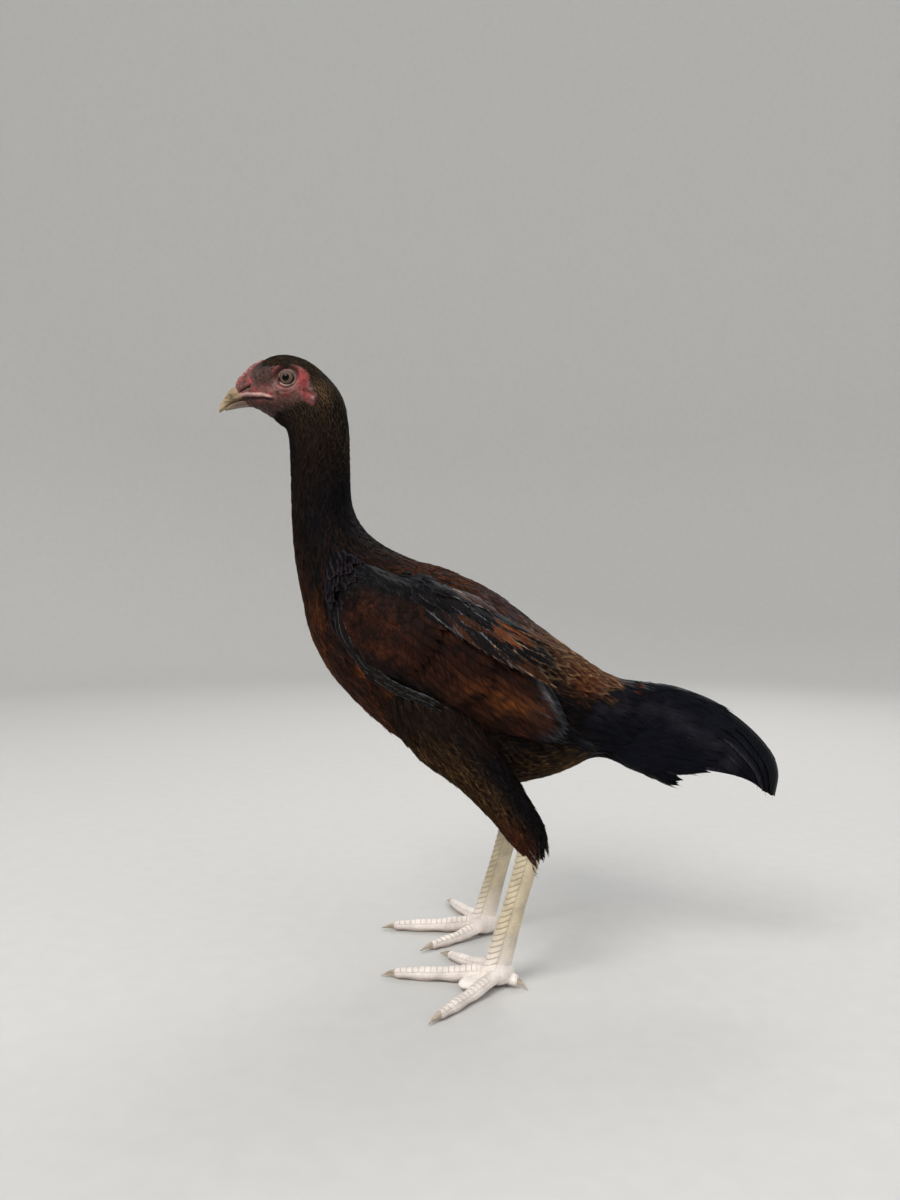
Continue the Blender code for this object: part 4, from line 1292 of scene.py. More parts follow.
class Coat:
    """One joined piece of many feathers."""

    MOST_TRIANGLES = 199_000
    SHARP = math.radians(55)
    # The map numbers the feathers, over again after so many, and spreads them over so many rows.
    CELLS, ROWS = 997, 31
    # Size of a feather's patch on the unwrap.
    PATCH = 0.003

    def __init__(self, name: str) -> None:
        """Starts an empty coat.

        Args:
            name: its name.
        """
        self.name = name
        self.parts: dict[str, list] = {key: [] for key in ("points", "corners", "starts", "OFBake", "Vane",
                                                           "centre", "edge")}
        self.point_count = self.corner_count = self.feather_count = 0

    def add(self, surface: Surface, feathers: Feathers, shape: VaneShape, relief: Callable | None = None,
            paint: Callable | None = None) -> None:
        """Lays feathers on a surface.

        Args:
            surface: what they grow from.
            feathers: their places and sizes.
            shape: their form.
            relief: how far the skin stands out at given points, in mm, or None where it is plain.
            paint: turns points, centre and edge colours into new colours by place, or None.
        """
        chance = np.random.default_rng(SEED + self.feather_count)
        kind = chance.integers(0, shape.variants, len(feathers.u))
        for number in range(shape.variants):
            f, vane = feathers.keep(kind == number), shape.variant(number)
            if not len(f.u):
                continue
            s, x, h, _ = vane.points.T
            length, half = f.length[:, None], f.width[:, None] / 2
            along = s * length
            across = x * half + f.bow[:, None] * length * 4 * s * (1 - s)
            cos, sin = np.cos(f.heading)[:, None], np.sin(f.heading)[:, None]
            reach_u, reach_v = (reach[:, None] / MM for reach in surface.scale(f.u, f.v))
            points, normals = surface.read(f.u[:, None] + (along * cos - across * sin) / reach_u,
                                           f.v[:, None] + (along * sin + across * cos) / reach_v)
            height = (f.lift + f.sink)[:, None] * clamp(s) ** f.rise - f.sink[:, None] + h * half
            height = height + f.tilt[:, None] * x * half + (relief(points) if relief else 0)
            placed = (points + normals * height[..., None] * MM).reshape(-1, 3)
            centre, edge = (np.repeat(colour, len(s), axis=0) for colour in (f.centre, f.edge))
            if paint:
                centre, edge = paint(placed, centre, edge)
            root_v = f.v % 1.0 if surface.closed else clamp(f.v)
            self.store(vane, surface.handed, placed, 0.004 + 0.99 * clamp(f.u), 0.004 + 0.99 * root_v, centre,
                       edge)

    def store(self, vane: Vane, handed: int, points: Array, root_u: Array, root_v: Array, centre: Array,
              edge: Array) -> None:
        """Stores placed feathers of one variant.

        Args:
            vane: their variant.
            handed: 1 or -1, as their surface is handed.
            points: their points, one feather after the other.
            root_u: where the unwrap has each root, along.
            root_v: the same, around.
            centre: centre colours of the points.
            edge: edge colours of the points.
        """
        number = np.arange(len(root_u))[:, None]
        corners, starts = vane.loops(handed)
        s, c = clamp(vane.points[:, 0]), clamp(vane.points[:, 3], -1, 1)
        cell = (self.feather_count + number) % self.CELLS
        bake = (root_u[:, None] + self.PATCH * (s - 0.5), root_v[:, None] + self.PATCH / 2 * c)
        own = (cell + 0.5 + 0.48 * c, cell % self.ROWS + 0.01 + 0.98 * np.minimum(s, 0.999))
        found = {"points": points, "centre": centre, "edge": edge,
                 "corners": (corners + number * len(s) + self.point_count).ravel(),
                 "starts": (starts + number * len(corners) + self.corner_count).ravel(),
                 "OFBake": np.stack(bake, axis=-1).reshape(-1, 2),
                 "Vane": np.stack(own, axis=-1).reshape(-1, 2)}
        for key, rows in found.items():
            self.parts[key].append(rows)
        self.point_count += len(points)
        self.corner_count += len(found["corners"])
        self.feather_count += len(number)

    def build(self, slot: str, material: Material, nodes: tuple = ()) -> None:
        """Makes the coat one piece on the bird.

        Args:
            slot: not used.
            material: its finish.
            nodes: the solids that it stands for.
        """
        found = {key: np.concatenate(rows) for key, rows in self.parts.items()}
        corners, starts = found["corners"], found["starts"]
        triangles = len(corners) - 2 * len(starts)
        log.info("%s: %d feathers, %d triangles", self.name, self.feather_count, triangles)
        if triangles > self.MOST_TRIANGLES:
            raise ValueError(f"{self.name} has too many triangles")
        mesh = bpy.data.meshes.new(self.name)
        for items, key, rows, kind in ((mesh.vertices, "co", found["points"], np.float32),
                                       (mesh.loops, "vertex_index", corners, np.int32),
                                       (mesh.polygons, "loop_start", starts, np.int32)):
            items.add(len(rows))
            items.foreach_set(key, rows.astype(kind).ravel())
        mesh.update(calc_edges=True)
        for name in ("OFBake", "Vane"):
            layer = mesh.uv_layers.new(name=name, do_init=False)
            layer.uv.foreach_set("vector", found[name][corners].astype(np.float32).ravel())
        obj = link(self.name, mesh)
        for name in ("centre", "edge"):
            set_colour(obj, name, found[name])
        mesh.shade_smooth()
        mesh.set_sharp_from_angle(angle=self.SHARP)
        settle(obj, slot, material, nodes)


class Markings:
    """The plumage's colours, the same for skin and coat."""

    # Centre and edge colours on the back line, at the side and on the belly line, by station.
    BODY = {
        "forehead": ((SOOT, OLIVE), (UMBER, OLIVE), (FACE_DARK, UMBER)),
        "cheek": ((SOOT, OLIVE), (SOOT, OLIVE), (SOOT, UMBER)),
        "occiput": ((BLACK, OLIVE), (SOOT, OLIVE), (BLACK, UMBER)),
        "neck_top": ((BLACK, OLIVE), (SOOT, UMBER), (BLACK, SOOT)),
        "neck_mid": ((BLACK, BLACK), (BLACK, SOOT), (SOOT, UMBER)),
        "neck_low": ((BLACK, SOOT), (BLACK, UMBER), (UMBER, MAHOGANY)),
        "crop": ((SOOT, UMBER), (SOOT, MAHOGANY), (UMBER, MAHOGANY)),
        "breast": ((UMBER, CHESTNUT), (SOOT, UMBER), (UMBER, CHESTNUT)),
        "side": ((UMBER, CHESTNUT), (SOOT, UMBER), (SOOT, MAHOGANY)),
        "flank": ((MAHOGANY, SLATE), (BLACK, UMBER), (SOOT, OLIVE)),
        "loin": ((MAHOGANY, TAN), (BLACK, SOOT), (UMBER, GOLD)),
        "vent": ((CHESTNUT, TAN), (BLACK, SOOT), (OLIVE, GOLD)),
        "rump": ((MAHOGANY, CHESTNUT), (BLACK, SOOT), (BLACK, OLIVE)),
        "tail_root": ((SOOT, MAHOGANY), (BLACK, BLACK), (BLACK, SOOT)),
    }

    def body(self, u: Array, v: Array, points: Array) -> tuple[Array, Array]:
        """Centre and edge colours of feathers on the body.

        Args:
            u: share along the body.
            v: share around it.
            points: their places.

        Returns:
            Rows of centre colours and of edge colours.
        """
        x, _, z = in_mm(points)
        bands = by_station(self.BODY, u)
        around = np.abs(((v % 1.0) * 4 + 2) % 4 - 2)[:, None]
        upper = mix(bands[:, 0], bands[:, 1], ease(around, 0.15, 0.85))
        centre, edge = np.moveaxis(mix(upper, bands[:, 2], ease(around, 1.15, 1.8)), 1, 0)
        patches = ease(mottle(points, 16, 5), 0.35, 1.0) * ease(x, -60, -95) * ease(z, 300, 240)
        saddle = 0.7 * hump(oval(x, z, (50, 212), (7, 11)))
        return (washes(centre, (CHESTNUT, patches * 0.6), (CHESTNUT, saddle * 0.8)),
                washes(edge, (RUST, patches * 0.4), (RUST, saddle)))

    def thigh(self, around: Array, points: Array) -> tuple[Array, Array]:
        """Colours on a thigh: black behind, mottled brown above, rusty in front of the hock.

        Args:
            around: share around it, from its front.
            points: places on it.

        Returns:
            Rows of centre colours and of edge colours.
        """
        _, _, z = in_mm(points)
        front = ease(np.cos(around * TURN), -0.55, 0.6)
        low, high = ease(z, 130, 100), ease(z, 150, 190)
        patches = ease(mottle(points, 14, 8), 0.2, 0.9) * (1 - low) * front
        return (washes(BLACK, (UMBER, front), (MAHOGANY, front * low * 0.9), (UMBER, patches * 0.6),
                       (SOOT, high)),
                washes(SOOT, (mix(OLIVE, GOLD, 0.5), front * (1 - low)), (CHESTNUT, front * low),
                       (GOLD, patches * 0.25), (UMBER, high)))

    @staticmethod
    def vary(colours: Array, amount: float, count: int, chance: Chance) -> Array:
        """The colours of so many feathers, each a little lighter or darker."""
        return np.asarray(colours) * np.exp(chance.normal(0, amount, count))[:, None]


def bareness(points: Array) -> Array:
    """How bare the head is at places.

    Args:
        points: the places.

    Returns:
        1 on the red face, 0 where feathers grow.
    """
    x, y, z = in_mm(points)
    bare = np.maximum.reduce([
        ease(oval(x, z + 0.12 * (x + 160), (-160, 413), (30.5, 17.5)), 1.04, 0.88),
        ease(oval(x, z, (-140.5, 416), (11.5, 13.5)), 1.08, 0.88),
        ease(oval(x, z, (-168, 401), (18, 9)), 1.05, 0.85),
        ease(oval(x, z, (-129.5, 405.5), (7.0, 6.5)), 1.1, 0.8),
        ease(x, -162, -174)])
    crown = ease(z, 427, 430) * ease(x, -173, -166)
    narrow = ease(z, 423, 427) * ease(np.abs(y), 11.5, 9.0) * ease(x, -170, -163)
    return bare * (1 - crown) * (1 - narrow)


def staggered(surface: Surface, span: tuple, spacing: Callable, loose: float, samples: int,
              chance: Chance) -> Array:
    """Places in staggered rows round a closed surface.

    Args:
        surface: the surface.
        span: first and last share along.
        spacing: turns a share along into the distance between rows, and between places in a row, in mm.
        loose: how far a place may leave its row, as a share of the distance between rows.
        samples: number of places at which a row's length is measured.
        chance: source of the irregularities.

    Returns:
        Share along, share around, share along of the row, and metres that one unit along is in the row.
    """
    (u, end), parts = span, []
    ring = np.linspace(0, 1, samples, endpoint=False)
    while u < end:
        step, across = spacing(u)
        reach_u, reach_v = (reach.mean() for reach in surface.scale(np.full(samples, u), ring))
        count = max(8, int(reach_v / (across * MM)))
        v = (np.arange(count) + 0.5 * (len(parts) % 2) + chance.uniform(-0.3, 0.3, count)) / count
        here = u + chance.uniform(-loose, loose, count) * step * MM / reach_u
        parts.append(np.stack([here, v, np.full(count, u), np.full(count, reach_u)]))
        u += step * MM / reach_u
    return np.concatenate(parts, axis=1)


class Plumage:
    """The feathers of head, body and thighs, and the finishes of all of them."""

    # Length, width, step along, step across, depth of the root and lift of the tip, by station, in mm.
    SIZES = {
        "bill_root": (2.6, 1.3, 1.3, 1.1, 0.4, 0.05),
        "brow": (4.2, 1.9, 1.3, 1.15, 0.6, 0.15),
        "ear": (6.0, 2.5, 1.7, 1.5, 0.8, 0.25),
        "nape": (9.0, 3.4, 2.2, 1.9, 1.1, 0.3),
        "neck_mid": (14.0, 4.6, 3.0, 2.4, 1.5, 0.35),
        "neck_low": (19.0, 6.2, 3.9, 3.2, 1.9, 0.4),
        "crop": (21.0, 8.0, 4.4, 3.9, 2.2, 0.4),
        "side": (23.0, 9.0, 5.0, 4.5, 2.4, 0.4),
        "loin": (26.0, 9.0, 5.2, 4.5, 2.6, 0.4),
        "tail_root": (26.0, 8.0, 5.0, 4.0, 2.6, 0.2),
    }

    def __init__(self, form: Form, markings: Markings, effects: Effects) -> None:
        """Takes the forms and colours, and makes the finishes.

        Args:
            form: the bird's large forms.
            markings: the plumage's colours.
            effects: the shared shader groups.
        """
        self.form, self.markings = form, markings
        self.short, self.body, self.wing, self.tail = (finish.material(effects) for finish in (
            FeatherFinish("short_plumage", 7, 0.34, 0.40, 0.60, 0.10, 0.02),
            FeatherFinish("body_plumage", 12, 0.34, 0.60, 0.60, 0.16, 0.02),
            FeatherFinish("wing_plumage", 34, 0.13, 0.85, 0.52, 0.16, 0.05, 0.13),
            FeatherFinish("tail_plumage", 70, 0.10, 0.50, 0.36, 0.12, 0.05, 0.10)))

    def body_field(self, first: str, last: str, chance: Chance) -> Feathers:
        """Rows of feathers over the body between two stations.

        Args:
            first: the station nearer the bill.
            last: the station nearer the tail.
            chance: source of the small irregularities.

        Returns:
            The feathers.
        """
        surface, vary = self.form.body, self.markings.vary
        u, v, row, reach = staggered(surface, (SHARE[first], SHARE[last]),
                                     lambda share: by_station(self.SIZES, share)[2:4], 0.35, 48, chance)
        length, width, _, _, sink, lift = by_station(self.SIZES, row).T
        stretch = clamp(surface.scale(clamp(u), v)[0] / reach, 0.55, 1.7)
        centre, edge = self.markings.body(u, v, surface.read(u, v)[0])
        droop = 0.18 * np.sin(v * TURN) * ease(u, SHARE["neck_low"], SHARE["side"])
        count = len(u)
        return Feathers(u=u, v=v, heading=droop + chance.normal(0, 0.10, count),
                        length=length * stretch * chance.uniform(0.85, 1.15, count),
                        width=width * chance.uniform(0.85, 1.15, count), sink=sink,
                        lift=lift * chance.uniform(0.2, 1.8, count), centre=vary(centre, 0.28, count, chance),
                        edge=vary(edge, 0.28, count, chance), bow=chance.normal(0, 0.03, count),
                        tilt=chance.normal(0, 0.10, count), rise=0.7)

    def head_feathers(self, face: Face) -> None:
        """Short feathers of the crown, the ear covers and the throat, thinning out over the bare face.

        Args:
            face: the bare face, whose relief the feathers follow.
        """
        chance = np.random.default_rng(SEED)
        found = self.body_field("bill_root", "nape", chance)
        points, _ = self.form.body.read(found.u, found.v)
        x, _, z = in_mm(points)
        bare = bareness(points)
        stubble = 0.85 * ease(oval(x, z, (-163, 424), (11, 10)), 1.15, 0.6)
        stubble += 0.6 * hump(oval(x, z, *CHEEK_DOWN))
        stubble += 0.30 * ease(z, 406, 400) + 0.25 * ease(x, -140, -133)
        keep = chance.uniform(0, 1, len(bare)) < np.where(bare > 0.5, stubble, 1 - bare)
        eye_x, _, eye_z = EYE_CENTRE
        keep &= np.hypot(x - eye_x, z - eye_z) > 9.5 + 2.3 * ease(z, eye_z, eye_z + 6)
        keep &= ((x > -176) | (z < 404)) & (oval(x, z, (-126.8, 404.8), (1, 1.3)) > 4)
        cover = hump(oval(x, z, (-124.5, 411.5), (5.5, 7.5)))
        found.centre, found.edge = mix(found.centre, OLIVE, cover), mix(found.edge, TAN, cover * 0.8)
        fine = 1 - 0.55 * ease(bare, 0.15, 0.6)
        found.length, found.width = found.length * fine, found.width * fine
        coat = Coat("head_feathers")
        coat.add(self.form.body, found.keep(keep), SHORT, face.relief)
        coat.build("plumage", self.short)

    def body_feathers(self) -> None:
        """The neck, breast, back, sides and belly, in pieces of a few hundred to a few thousand feathers."""
        body = self.form.body
        spans = (("neck_feathers", "nape", "neck_low"), ("breast_feathers", "neck_low", "breast"),
                 ("side_feathers", "breast", "flank"), ("loin_feathers", "flank", "rump"),
                 ("rump_feathers", "rump", "tail_root"))
        for number, (name, first, last) in enumerate(spans):
            shape, finish = (SOFT, self.body) if number else (SHORT, self.short)
            chance = np.random.default_rng(SEED + 1 + number)
            found = self.body_field(first, last, chance)
            points, _ = body.read(found.u, found.v)
            hidden = self.form.under_wing(points, 12)
            hidden |= self.form.past_rump(points) > chance.normal(0, 3, len(hidden))
            tips, _ = body.read(found.u + 0.8 * MM * found.length / body.scale(found.u, found.v)[0], found.v)
            rise = self.form.wing_rise(tips)
            found.lift += rise
            dark = ease(rise, 0, 4)
            found.centre, found.edge = mix(found.centre, BLACK, dark), mix(found.edge, PLUM, dark * 0.8)
            coat = Coat(name)
            coat.add(body, found.keep(~hidden), shape)
            coat.build("plumage", finish)

    def thigh_feathers(self) -> None:
        """Short feathers that run down each thigh and end ragged over the hock."""
        vary = self.markings.vary
        for side in Side:
            chance = np.random.default_rng(SEED + 20 + side.value)
            surface = self.form.thighs[side]
            u, v, _, _ = staggered(surface, (0.02, 1.0), lambda share: (4.2 - 1.6 * share, 3.8 - 1.6 * share),
                                   0.4, 40, chance)
            points, _ = surface.read(u, v)
            centre, edge = self.markings.thigh(v, points)
            count, front = len(u), np.cos(v * TURN)
            cuff = ease(u, 0.86, 0.98) * ease(front, 0.4, 1.0)
            size = 1 - 0.45 * clamp(u)
            found = Feathers(u=u, v=v, heading=chance.normal(0, 0.12, count),
                             length=(19 * size + 4 * cuff) * chance.uniform(0.8, 1.2, count),
                             width=7.5 * size * chance.uniform(0.85, 1.15, count), sink=2.0 * size,
                             lift=0.5 * chance.uniform(0.1, 1.9, count),
                             centre=vary(centre, 0.3, count, chance),
                             edge=vary(edge, 0.3, count, chance), bow=chance.normal(0, 0.03, count),
                             tilt=chance.normal(0, 0.12, count), rise=0.7)
            hock = (chance.uniform(0, 1, count) < 0.6) * ease(u, 0.86, 0.95) * ease(front, 0.6, 0.0)
            found.edge = mix(found.edge, ASH, hock)
            hidden = self.form.under_wing(points, 8) | (np.abs(points[:, 1]) < 22 * MM)
            coat = Coat(f"thigh_feathers_{side.word}")
            coat.add(surface, found.keep(~hidden), FLUFF)
            coat.build("plumage", self.body)


@dataclass(frozen=True)
class Tier:
    """One tier of wing feathers: roots and tips (a, b) of the first, middle and last feather, in mm."""

    roots: tuple
    tips: tuple
    count: int
    width: float
    depth: float
    shape: VaneShape
    centre: Colour
    edge: Colour
    bow: float = 0.035
    tilt: float = -0.144
    spread: float = 0.16

    @staticmethod
    def line(three: tuple, f: Array) -> Array:
        """Points at shares along the bow through three points."""
        first, middle, last = np.array(three, float)
        return first * (1 - f) ** 2 + (middle * 2 - (first + last) / 2) * 2 * f * (1 - f) + last * f**2


@dataclass
class Wing:
    """One folded wing: coverts in tiers, flight feathers, and the shoulder feathers that lie over it."""

    plumage: Plumage
    side: Side
    chance: Chance = field(default_factory=lambda: np.random.default_rng(SEED + 40))

    # Primaries, secondaries, greater coverts, median coverts.
    TIERS = (
        Tier(((62, -35), (75, -26), (90, -17)), ((170, -19), (193, -9), (205, -2)), 7, 13, 9.0, QUILL, BLACK,
             SLATE),
        Tier(((56, -34), (74, 2), (95, 35)), ((160, -20), (184, -1), (133, 25)), 13, 16, 6.0, QUILL, MAHOGANY,
             SLATE),
        Tier(((38, -32), (50, -1), (66, 30)), ((102, -33), (122, -8), (106, 30)), 13, 15, 3.4, QUILL,
             MAHOGANY, UMBER),
        Tier(((18, -24), (24, 1), (36, 24)), ((62, -37), (80, -10), (70, 27)), 12, 14, 0.9, ROUND, MAHOGANY,
             UMBER),
    )
    # Small coverts: first and last distance from the shoulder, distance between rows, and within a row.
    LESSER = (-10, 44, 3.2, 3.52)

    def __post_init__(self) -> None:
        """Picks the wing's own form."""
        self.form = self.plumage.form
        self.surface = self.form.wings[self.side]

    def vary(self, colours: Array, amount: float, count: int) -> Array:
        """The colours of so many feathers, each a little lighter or darker."""
        return self.plumage.markings.vary(colours, amount, count, self.chance)

    def tier(self, tier: Tier) -> Feathers:
        """The feathers of one tier, each upper one over the next lower one.

        Args:
            tier: the tier.

        Returns:
            The feathers.
        """
        count = tier.count
        f = (np.arange(count) / (count - 1))[:, None]
        roots = Tier.line(tier.roots, f)
        run = (Tier.line(tier.tips, f) - roots) * (1 + self.chance.uniform(-0.02, 0.02, count))[:, None]
        u, v = self.form.wing_shares(*roots.T)
        return Feathers(u=u, v=v, heading=np.arctan2(run[:, 1], run[:, 0]), length=np.hypot(*run.T),
                        width=tier.width, sink=tier.depth + 1.2, lift=0.5 - tier.depth,
                        centre=self.vary(tier.centre, tier.spread, count),
                        edge=self.vary(tier.edge, 0.2, count),
                        bow=tier.bow, tilt=tier.tilt, rise=0.35)

    def lesser_coverts(self) -> Feathers:
        """Small scale-like feathers from the shoulder down, black in front, then chestnut.

        Returns:
            The feathers.
        """
        first, last, step, gap = self.LESSER
        parts = []
        for row, start in enumerate(np.arange(first, last, step)):
            low, high = self.form.wing_edges(start)
            low += 1.0
            count = max(3, int((high - low) / gap))
            share = (np.arange(count) + 0.5 * (row % 2) + self.chance.uniform(-0.2, 0.2, count)) / count
            off = share - 0.5
            parts.append((start + 5.0 * off**2 + self.chance.uniform(-0.25, 0.25, count) * step,
                          low + (high - low) * share, -0.25 * off + self.chance.normal(0, 0.08, count)))
        a, b, turn = np.concatenate(parts, axis=1)
        u, v = self.form.wing_shares(a, b)
        count, size = len(a), ease(a, -12, 30)
        points, _ = self.surface.read(u, v)
        dark = np.maximum(ease(b + 0.30 * (26 - a), 4, 15), ease(a, 13, 2))
        centre = washes(MAHOGANY, (UMBER, ease(mottle(points, 12, 3), 0, 0.8)), (BLACK, dark))
        # Slate rims on the black shoulder stand for a painted bluish sheen.
        edge = washes(UMBER, (CHESTNUT, ease(mottle(points, 9, 4), 0, 1)), (SLATE, dark * 0.3))
        return Feathers(u=u, v=v, heading=turn - 0.42 * ease(a, -2, 12), length=9 + 8 * size,
                        width=6 + 4.5 * size,
                        sink=1.6, lift=0.35 * self.chance.uniform(0.3, 1.6, count),
                        centre=self.vary(centre, 0.28, count), edge=self.vary(edge, 0.3, count),
                        tilt=self.chance.normal(0, 0.08, count), rise=0.7)

    def paint(self, points: Array, centre: Array, edge: Array) -> tuple[Array, Array]:
        """Colours that run over the whole wing: a black shoulder, dark red, an orange patch, and black tips.

        Args:
            points: places on the wing.
            centre: the feathers' own centre colours.
            edge: not used; the edge colours returned replace the feathers' own.

        Returns:
            The centre and edge colours at the places.
        """
        a, b = self.form.wing_place(points)
        colour = washes(MAHOGANY, (CHESTNUT, ease(mottle(points, 9, 21), -0.2, 1.1) * 0.6),
                        (UMBER, ease(mottle(points, 15, 22), 0.0, 1.0) * 0.75),
                        (SOOT, ease(mottle(points, 6, 23), 0.6, 1.4) * 0.6),
                        (SOOT, ease(mottle(points * (1, 1, 0.28), 2.6, 25), 0.0, 1.3) * 0.75))
        colour = colour * (0.85 - 0.3 * ease(a, 40, 75))[:, None]
        orange = np.maximum(hump(oval(a, b - 0.25 * (a - 132), (132, -7), (27, 9))),
                            0.9 * hump(oval(a, b, (104, 27), (14, 6))))
        rear = b - 16.3 + 0.51 * (a - 145)
        black = np.maximum.reduce([ease(a, 16, 2) * 0.9, ease(b + 0.30 * (26 - a), 6, 16) * ease(a, 70, 40),
                                   ease(a + 0.6 * b, 160, 178)])
        colour = washes(colour, (RUST, orange * ease(mottle(points, 5, 24), -1.6, 1.0) * 0.62),
                        (BLACK, ease(rear, 0.5, 3.5) * ease(a, 112, 124)),
                        (mix(SLATE, ASH, 0.45),
                         0.85 * hump(rear, 1.7) * ease(a, 120, 130) * ease(a, 176, 168)),
                        (BLACK, np.maximum(black, 0.7 * ease(b, -24, -33) * ease(a, 110, 80))))
        light = (centre.sum(axis=1) / sum(MAHOGANY))[:, None] ** 0.5
        # Rims: a darker copy of the colour, turning slate on the black parts and towards the tips; on black
        # feathers the slate is a painted bluish sheen.
        rim = mix(colour * 0.55, SLATE, np.maximum(black * 0.7, 0.8 * ease(a + 0.8 * b, 140, 165)))
        return colour * light, rim * (0.6 + 0.4 * light)

    def margin(self) -> Feathers:
        """Long narrow dark feathers that follow the wing's front and lower edge, their rims a double pale line.

        Returns:
            The feathers.
        """
        row, number = np.divmod(np.arange(16), 8)
        a = 1 + 66 * number / 7 + 3 * row
        b, middle, end = (self.form.wing_edges(a + far)[0] + 0.6 + 3.6 * row for far in (0, 17, 34))
        length = np.hypot(34, end - b)
        u, v = self.form.wing_shares(a, b)
        edge = mix(SLATE, ASH, (0.40 - 0.2 * row) * ease(a, -5, 30))
        return Feathers(u=u, v=v, heading=np.arctan2(end - b, 34), length=length, width=5.0 + 0.3 * row,
                        sink=1.2,
                        lift=0.9 + 0.3 * row, centre=SOOT, edge=self.vary(edge, 0.25, len(a)),
                        bow=(middle - (b + end) / 2) / length, tilt=-0.10, rise=0.45)

    def shoulder(self) -> Feathers:
        """Long feathers from the upper back that lie over the wing's upper edge and the tertials.

        Returns:
            The feathers.
        """
        count, chance = 84, self.chance
        f = (np.arange(count) + chance.uniform(-0.4, 0.4, count)) / count
        a = 2 + 108 * f
        layer = np.arange(count) % 5
        top = np.minimum(38 + 3 * ease(a, 30, 70), self.form.wing_edges(a)[1] + 1)
        u, v = self.form.wing_shares(a, top - 3.6 * layer + chance.uniform(-2.0, 2.0, count))
        warm = ease(np.sin(f * 17 + layer * 1.3), 0.0, 0.7) * ease(a, 45, 65)
        centre = washes(BLACK, (mix(CHESTNUT, RUST, 0.4), warm * 0.9), (SOOT, ease(layer, 1, 4) * 0.6))
        edge = washes(PLUM, (ASH, chance.uniform(0, 1, count) ** 0.9 * ease(a, 28, 62)),
                      (TAN, ease(a, 60, 95) * 0.7 * (chance.uniform(0, 1, count) > 0.45)),
                      (FLECK, (layer == 0) * (np.abs(a - 54) < 3.2)))
        upper = (layer == 0) + 0.5 * (layer == 1)
        return Feathers(u=u, v=v, heading=-0.10 - 0.05 * layer + chance.normal(0, 0.09, count),
                        length=(22 + 22 * ease(a, 10, 80)) * chance.uniform(0.8, 1.2, count),
                        width=8.5 + 3 * ease(a, 10, 60), sink=1.0 + 4.0 * upper, lift=1.0 - 0.18 * layer,
                        centre=self.vary(centre, 0.3, count), edge=self.vary(edge, 0.3, count),
                        bow=-0.02 + chance.normal(0, 0.02, count),
                        tilt=-0.08 - 0.15 * upper + chance.normal(0, 0.05, count), rise=0.5)

    def build(self) -> None:
        """The wing's feathers as one piece."""
        coat, tuck = Coat(f"wing_feathers_{self.side.word}"), self.form.tuck
        for tier in self.TIERS:
            coat.add(self.surface, self.tier(tier), tier.shape, tuck, self.paint)
        coat.add(self.surface, self.lesser_coverts(), ROUND, tuck, self.paint)
        coat.add(self.surface, self.margin(), LANCE)
        coat.add(self.surface, self.shoulder(), LANCE, tuck)
        coat.build("wing_feathers", self.plumage.wing, (f"wing_{self.side.word}",))


